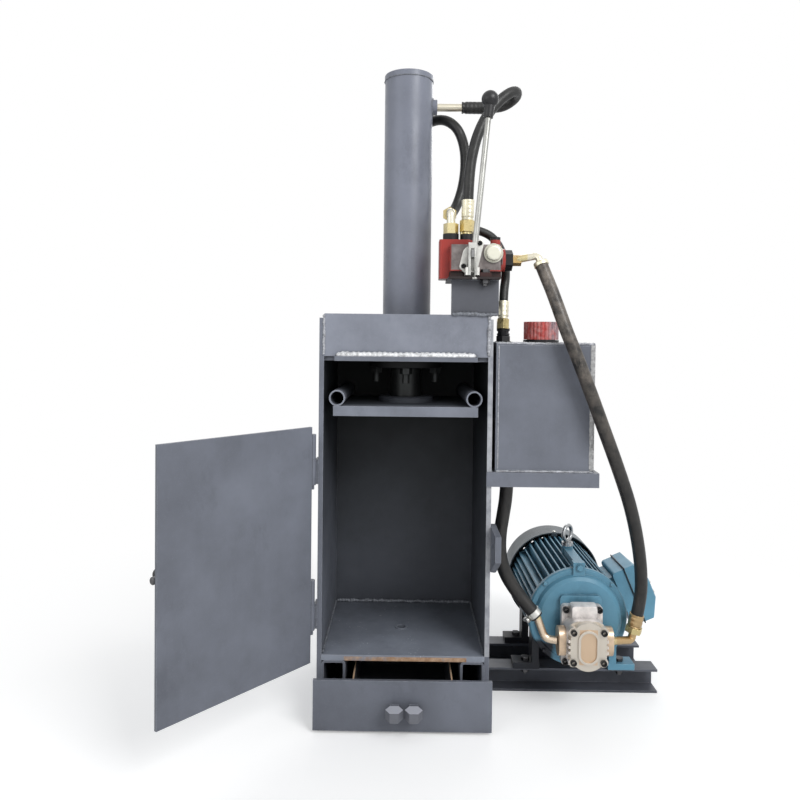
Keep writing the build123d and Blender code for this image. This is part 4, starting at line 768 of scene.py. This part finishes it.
WELDS = {
    "header_fillet_weld": ("fillet_weld", [
        (width_run(-145, 145, -2.2, PLATE_TOP + 2.5), 6.6,
         {"ripple": 11, "wobble": 0.1, "seed": 1, "lumps": 0.1}),
    ]),
    "header_end_welds": ("pale_weld", [
        (upright_run(171.5, -0.6, PLATE_TOP + 2, HEADER_TOP - 2), 3.6,
         {"ripple": 7, "wobble": 0.6, "seed": 2}),
        (upright_run(-170.5, -0.2, PLATE_TOP + 2, HEADER_TOP - 2), 2.6,
         {"ripple": 6, "wobble": 0.6, "seed": 3}),
    ]),
    "frame_welds": ("weld", frame_runs),
    "port_boss_welds": ("weld", [
        (upper_boss, 1.9, ROUND | {"seed": 18}),
        (lower_boss, 1.9, ROUND | {"seed": 19}),
    ]),
    "tank_welds": ("pale_weld", [
        (width_run(TANK_LEFT + 1, TANK_RIGHT - 1, TANK_FRONT + 1, TANK_TOP - 0.4), 2.3,
         TOP_EDGE | {"seed": 21}),
        (depth_run(TANK_RIGHT - 1.4, TANK_FRONT + 2, TANK_BACK - 2, TANK_TOP - 0.6), 2.0,
         TOP_EDGE | {"seed": 22}),
        (depth_run(TANK_LEFT + 1.4, TANK_FRONT + 2, TANK_BACK - 2, TANK_TOP - 0.6), 2.0,
         TOP_EDGE | {"seed": 23}),
        (width_run(TANK_LEFT + 1, TANK_RIGHT - 1, TANK_BACK - 1, TANK_TOP - 0.4), 2.2,
         TOP_EDGE | {"seed": 24}),
        (upright_run(TANK_LEFT + 5.3, TANK_FRONT - 0.1, SHELF_TOP + 7, TANK_TOP - 5), 1.3,
         {"ripple": 5, "seed": 25}),
        (width_run(TANK_LEFT + 1, TANK_RIGHT - 1, TANK_FRONT - 0.5, SHELF_TOP + 1.5), 2.2, {"seed": 26}),
        (depth_run(TANK_RIGHT + 0.4, TANK_FRONT + 4, TANK_BACK - 4, SHELF_TOP + 1), 2.4, {"seed": 27}),
    ]),
}
for name, (key, runs) in WELDS.items():
    mesh = bmesh.new()
    for path, radius, settings in runs:
        bead(mesh, path, radius, **settings)
    make(name, mesh, "press_frame", key)

# A smeared band of sealant down the right front edge of the tank
BAND_LEFT = TANK_RIGHT - 9.5
BAND_WIDTH = 10.0
BAND_BOTTOM = SHELF_TOP + 4
BAND_ROWS = 88
BAND_COLUMNS = 8
BAND_STEP = 3.0
mesh = bmesh.new()
rows = []
for row in range(BAND_ROWS):
    level = BAND_BOTTOM + row * BAND_STEP
    line = []
    for column in range(BAND_COLUMNS):
        across = column / (BAND_COLUMNS - 1)
        lump = noise.noise(Vector((across * 2.2, level / 11, 3.3)))
        rise = 0.5 + 1.3 * math.sin(across * math.pi) * (0.75 + 0.9 * lump)
        ragged = 1.6 * noise.noise(Vector((level / 8, across, 9.2))) * (1 - across)
        line.append(mesh.verts.new((BAND_LEFT + BAND_WIDTH * across + ragged,
                                    TANK_FRONT + 0.2 - max(0.1, rise), level)))
    rows.append(line)
for first, second in zip(rows, rows[1:]):
    for column in range(BAND_COLUMNS - 1):
        mesh.faces.new((first[column], first[column + 1], second[column + 1], second[column]))
back = bmesh.ops.extrude_face_region(mesh, geom=mesh.faces[:])
for item in back["geom"]:
    if isinstance(item, bmesh.types.BMVert):
        item.co.y = TANK_FRONT + 0.4
make("tank_sealant_band", mesh, "press_frame", "sealant")


# Ends of the hoses
def hose_end(name, last):
    """The middle of a hose's end face in press millimetres, and the way out of it."""
    points = HOSES[name][2]
    inner, outer = (points[-2], points[-1]) if last else (points[1], points[0])
    return Vector(outer), (Vector(outer) - Vector(inner)).normalized()


def crimp(mesh, name, last, length):
    """A ferrule over the end of a hose. The longer ones are pressed in ribs with eight flats."""
    start, away = hose_end(name, last)
    outer = HOSES[name][0] / 2 + 2

    def grooves(turn, height):
        share = height / length
        if length <= 20 or not 0.12 < share < 0.78:
            return 1
        ribs = max(2, round(length / 9))
        band = 0.5 - 0.5 * math.cos(share * 2 * math.pi * ribs)
        return 1 - (0.028 * band + 0.022 * (0.5 + 0.5 * math.cos(8 * turn)))

    profile = [(outer - 2.2, 0.2), (outer - 0.5, 0), (outer, 0.6)]
    profile += [(outer, length * k / 30) for k in range(1, 24)]
    profile += [(outer - 0.2, length * 0.82), (outer - 1.5, length * 0.86), (outer - 1.5, length * 0.92),
                (outer - 0.6, length * 0.94), (outer - 0.6, length), (0, length)]
    lathe(mesh, start, away, profile, 48, grooves)


# Ferrules in place of the CAD's plain ones: the hose, whether at its last point, and the length
FERRULES = {
    "crimped_ferrules": ("cream_zinc", [
        ("hose_cap_side", False, 44), ("hose_rod_side", False, 14), ("hose_rod_side", True, 44),
        ("hose_pressure", False, 9), ("hose_return", False, 6), ("hose_return", True, 39)]),
    "pressure_ferrule": ("brass", [("hose_pressure", True, 28)]),
    "black_ferrule": ("hose_rubber", [("hose_cap_side", True, 48)]),
}
for name, (key, ends) in FERRULES.items():
    mesh = bmesh.new()
    for end in ends:
        crimp(mesh, *end)
    piece = make(name, mesh, "press_frame", key)
    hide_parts("hose_ferrules")

# Worm screws of the suction hose's clamps, each in a tapered housing on the band
CLAMP_RADIUS = 17.6
mesh = bmesh.new()
for last, out in ((False, (-0.8, -0.6, 0)), (True, (-0.75, -0.3, -0.59))):
    start, away = hose_end("hose_suction", last)
    out = Vector(out)
    out = (out - away * out.dot(away)).normalized()
    along = away.cross(out)
    seat = start - away * 10 + out * CLAMP_RADIUS
    corners = []
    for height, half_length, half_width in ((0, 7.5, 5.2), (5.5, 7.5, 5.2), (7.5, 6, 3.4)):
        for u, v in ((-1, -1), (1, -1), (1, 1), (-1, 1)):
            spot = seat + out * height + along * half_length * u + away * half_width * v
            corners.append(mesh.verts.new(spot))
    for level in (0, 4):
        for k in range(4):
            after = (k + 1) % 4
            mesh.faces.new((corners[level + k], corners[level + after], corners[level + 4 + after],
                            corners[level + 4 + k]))
    mesh.faces.new(corners[8:])
    mesh.faces.new(corners[:4])
    screw = seat + out * 4 + along * 6
    lathe(mesh, screw, along, [(0, 0), (2.6, 0), (2.6, 5), (4.2, 5), (4.2, 9.4), (3.6, 10), (1.2, 10),
                               (0, 8.6)], 12)
make("clamp_screws", mesh, "press_frame", "zinc")

# Screws and fins of the motor
LID_OUT = Vector((math.cos(BOX_TILT), 0, math.sin(BOX_TILT)))
LID_UP = Vector((-math.sin(BOX_TILT), 0, math.cos(BOX_TILT)))
CORNERS = [math.radians(45 + 90 * step) for step in range(4)]


def round_motor(turn, reach, depth):
    """A point at an angle and a distance from the motor's axis, and the way out through it."""
    way = Vector((math.cos(turn), 0, math.sin(turn)))
    return Vector((MOTOR_X, depth, MOTOR_Z)) + way * reach, way


def on_box(out, rise, depth):
    """A point by the terminal box, out from the motor's axis and up along the tilted lid."""
    return Vector((MOTOR_X, depth, MOTOR_Z)) + LID_OUT * out + LID_UP * rise


# Screws round the edge of the fan cowl, and of the terminal box's lid
COWL_RADIUS = 118.8
LID_FACE = 192.8
mesh = bmesh.new()
for step in range(4):
    place, way = round_motor(step * math.pi / 2, COWL_RADIUS, 379)
    pan_head(mesh, place, way, 10, 4)
make("cowl_screws", mesh, "press_frame", "zinc")

mesh = bmesh.new()
for rise in (-50, -25):
    for depth in (200, 280):
        pan_head(mesh, on_box(LID_FACE, rise, depth), LID_OUT, 9, 3.4)
make("lid_screws", mesh, "press_frame", "zinc")

# The screw of the lug over the bell, and the four round the bell
mesh = bmesh.new()
hex_head(mesh, (391, 104.2, 299), TO_FRONT, 13, 7)
for turn in CORNERS:
    hex_head(mesh, round_motor(turn, 105.5, 109.2)[0], TO_FRONT, 8, 4.5)
make("bell_bolts", mesh, "press_frame", "motor_paint", smooth=False)

# One more fin in each corner of the housing, where the two sets of fins part
FIN_HALF = 1.5
FIN_ENDS = (122.5, 372.5)
FIN_REACH = (90.5, 109)
mesh = bmesh.new()
for turn in CORNERS:
    rim = []
    for depth in FIN_ENDS:
        for reach in FIN_REACH:
            middle, way = round_motor(turn, reach, depth)
            across = Vector((-way.z, 0, way.x)) * FIN_HALF
            rim.append((mesh.verts.new(middle - across), mesh.verts.new(middle + across)))
    for first, second in ((0, 1), (1, 3), (3, 2), (2, 0)):
        mesh.faces.new((rim[first][0], rim[first][1], rim[second][1], rim[second][0]))
    for flank in (0, 1):
        mesh.faces.new([rim[corner][flank] for corner in (0, 1, 3, 2)])
bmesh.ops.bevel(mesh, geom=mesh.edges[:], offset=0.7, segments=2, affect="EDGES")
make("corner_fins", mesh, "press_frame", "motor_paint", smooth=False)

# Black adapter under the return hose, on the tank
ADAPTER = (206, 45, TANK_TOP + 2)
HEX_HEIGHT = 13
mesh = bmesh.new()
hex_head(mesh, ADAPTER, Z, 27, HEX_HEIGHT)
lathe(mesh, Vector(ADAPTER) + Vector(Z) * HEX_HEIGHT, Z, [
    (0, 0), (12.5, 0), (13.4, 1.5), (13.4, 4.5), (11.6, 6), (11.6, 9), (13.8, 10.5), (13.8, 15), (12.6, 16.5),
    (11, 17), (11, 30), (0, 30)], 36)
make("return_adapter", mesh, "press_frame", "black_plastic", smooth=False)

# Gasket between the terminal box and its lid
GASKET_LOW = -107.5
GASKET_HIGH = 32.5
GASKET_FRONT = 186.5
GASKET_REAR = 293.5
GASKET_FACES = (146.2, 148.8)
mesh = bmesh.new()
ring = []
for rise, depth in ((GASKET_LOW, GASKET_FRONT), (GASKET_HIGH, GASKET_FRONT),
                    (GASKET_HIGH, GASKET_REAR), (GASKET_LOW, GASKET_REAR)):
    for out in GASKET_FACES:
        ring.append(mesh.verts.new(on_box(out, rise, depth)))
for k in range(4):
    after = (k + 1) % 4
    mesh.faces.new((ring[2 * k], ring[2 * after], ring[2 * after + 1], ring[2 * k + 1]))
mesh.faces.new(ring[0::2])
mesh.faces.new(ring[1::2])
bmesh.ops.bevel(mesh, geom=mesh.edges[:], offset=0.6, segments=2, affect="EDGES")
make("terminal_gasket", mesh, "press_frame", "hose_rubber")

# Two screws of the lever's plate, and the long pin that hangs in the lever's fork
SCREW_TILT = math.radians(55)
SCREW_REACH = 29
mesh = bmesh.new()
for reach in (-SCREW_REACH, SCREW_REACH):
    place = (SPOOL_X + reach * math.cos(SCREW_TILT), 0.2, SPOOL_Z + reach * math.sin(SCREW_TILT))
    socket_head(mesh, place, TO_FRONT, 10, 3.4)
make("plate_screws", mesh, "press_frame", "black_steel", smooth=False)

mesh = bmesh.new()
lathe(mesh, (137, -26.2, 925), Z, [(0, 0), (5.2, 0), (5.8, 0.8), (5.8, 3.4), (5.0, 4.4), (1.9, 4.4),
                                   (1.9, 62), (1.2, 64), (0, 64)], 20)
make("lever_pin", mesh, "lever", "lever_steel")

# Floor and light
WHITE = (1, 1, 1, 1)
FLOOR_HALF = 9
floor_mesh = bpy.data.meshes.new("floor")
floor_mesh.from_pydata([(-FLOOR_HALF, -FLOOR_HALF, 0), (FLOOR_HALF, -FLOOR_HALF, 0),
                        (FLOOR_HALF, FLOOR_HALF, 0), (-FLOOR_HALF, FLOOR_HALF, 0)], [], [(0, 1, 2, 3)])
floor = bpy.data.objects.new("floor", floor_mesh)
bpy.context.scene.collection.objects.link(floor)

# The camera sees the floor a little lifted near the machine, so its shadow shows, and white beyond.
ground = Material("pale_floor")
ground.set("Base Color", colour(244, 244, 244))
ground.set("Roughness", 0.9)
ground.set("Specular IOR Level", 0.1)
to_camera = ground.node("ShaderNodeLightPath").outputs["Is Camera Ray"]
far = ground.node("ShaderNodeVectorMath", {0: ground.place}, operation="LENGTH").outputs["Value"]
lift = ground.node("ShaderNodeEmission", {"Color": WHITE, "Strength": ground.times(to_camera, 0.26)})
lifted = ground.node("ShaderNodeAddShader", {0: ground.surface.outputs[0], 1: lift.outputs[0]})
beyond = ground.node("ShaderNodeEmission", {"Color": WHITE, "Strength": 1.0})
blend = ground.node("ShaderNodeMixShader", {0: ground.times(ground.span(far, 0.7, 1.6), to_camera),
                                            1: lifted.outputs[0], 2: beyond.outputs[0]})
ground.tree.links.new(blend.outputs[0], ground.tree.nodes["Material Output"].inputs["Surface"])
floor_mesh.materials.append(ground.data)

world = bpy.data.worlds.new("studio")
bpy.context.scene.world = world
world.use_nodes = True
world.node_tree.nodes.clear()
studio = Nodes(world.node_tree)
rays = studio.node("ShaderNodeLightPath").outputs
direct = studio.maths("ADD", rays["Is Camera Ray"], rays["Is Glossy Ray"])
direct = studio.maths("ADD", direct, rays["Is Transmission Ray"])
room = studio.node("ShaderNodeBackground", {"Color": (0.97, 0.985, 1.0, 1), "Strength": 0.54})
backdrop = studio.node("ShaderNodeBackground", {"Color": WHITE, "Strength": 1.0})
mixed = studio.node("ShaderNodeMixShader", {0: direct, 1: room.outputs[0], 2: backdrop.outputs[0]})
studio.node("ShaderNodeOutputWorld", {"Surface": mixed.outputs[0]})


def lamp(name, where, target, size, watts):
    data = bpy.data.lights.new(name, "AREA")
    data.shape = "RECTANGLE"
    data.size, data.size_y = size
    data.energy = watts
    thing = bpy.data.objects.new(name, data)
    bpy.context.scene.collection.objects.link(thing)
    thing.location = where
    thing.rotation_mode = "QUATERNION"
    thing.rotation_quaternion = (Vector(target) - Vector(where)).to_track_quat("-Z", "Y")


lamp("key", (1.9, -2.8, 2.9), (0, 0, 0.6), (1.8, 1.8), 88)
lamp("fill", (-2.6, -2.2, 1.6), (0, 0, 0.6), (2.0, 2.0), 14)
lamp("back", (0.6, 2.8, 2.6), (0, 0, 0.8), (2.4, 1.6), 30)

bpy.context.scene.view_settings.view_transform = "Standard"

bpy.context.view_layer.update()
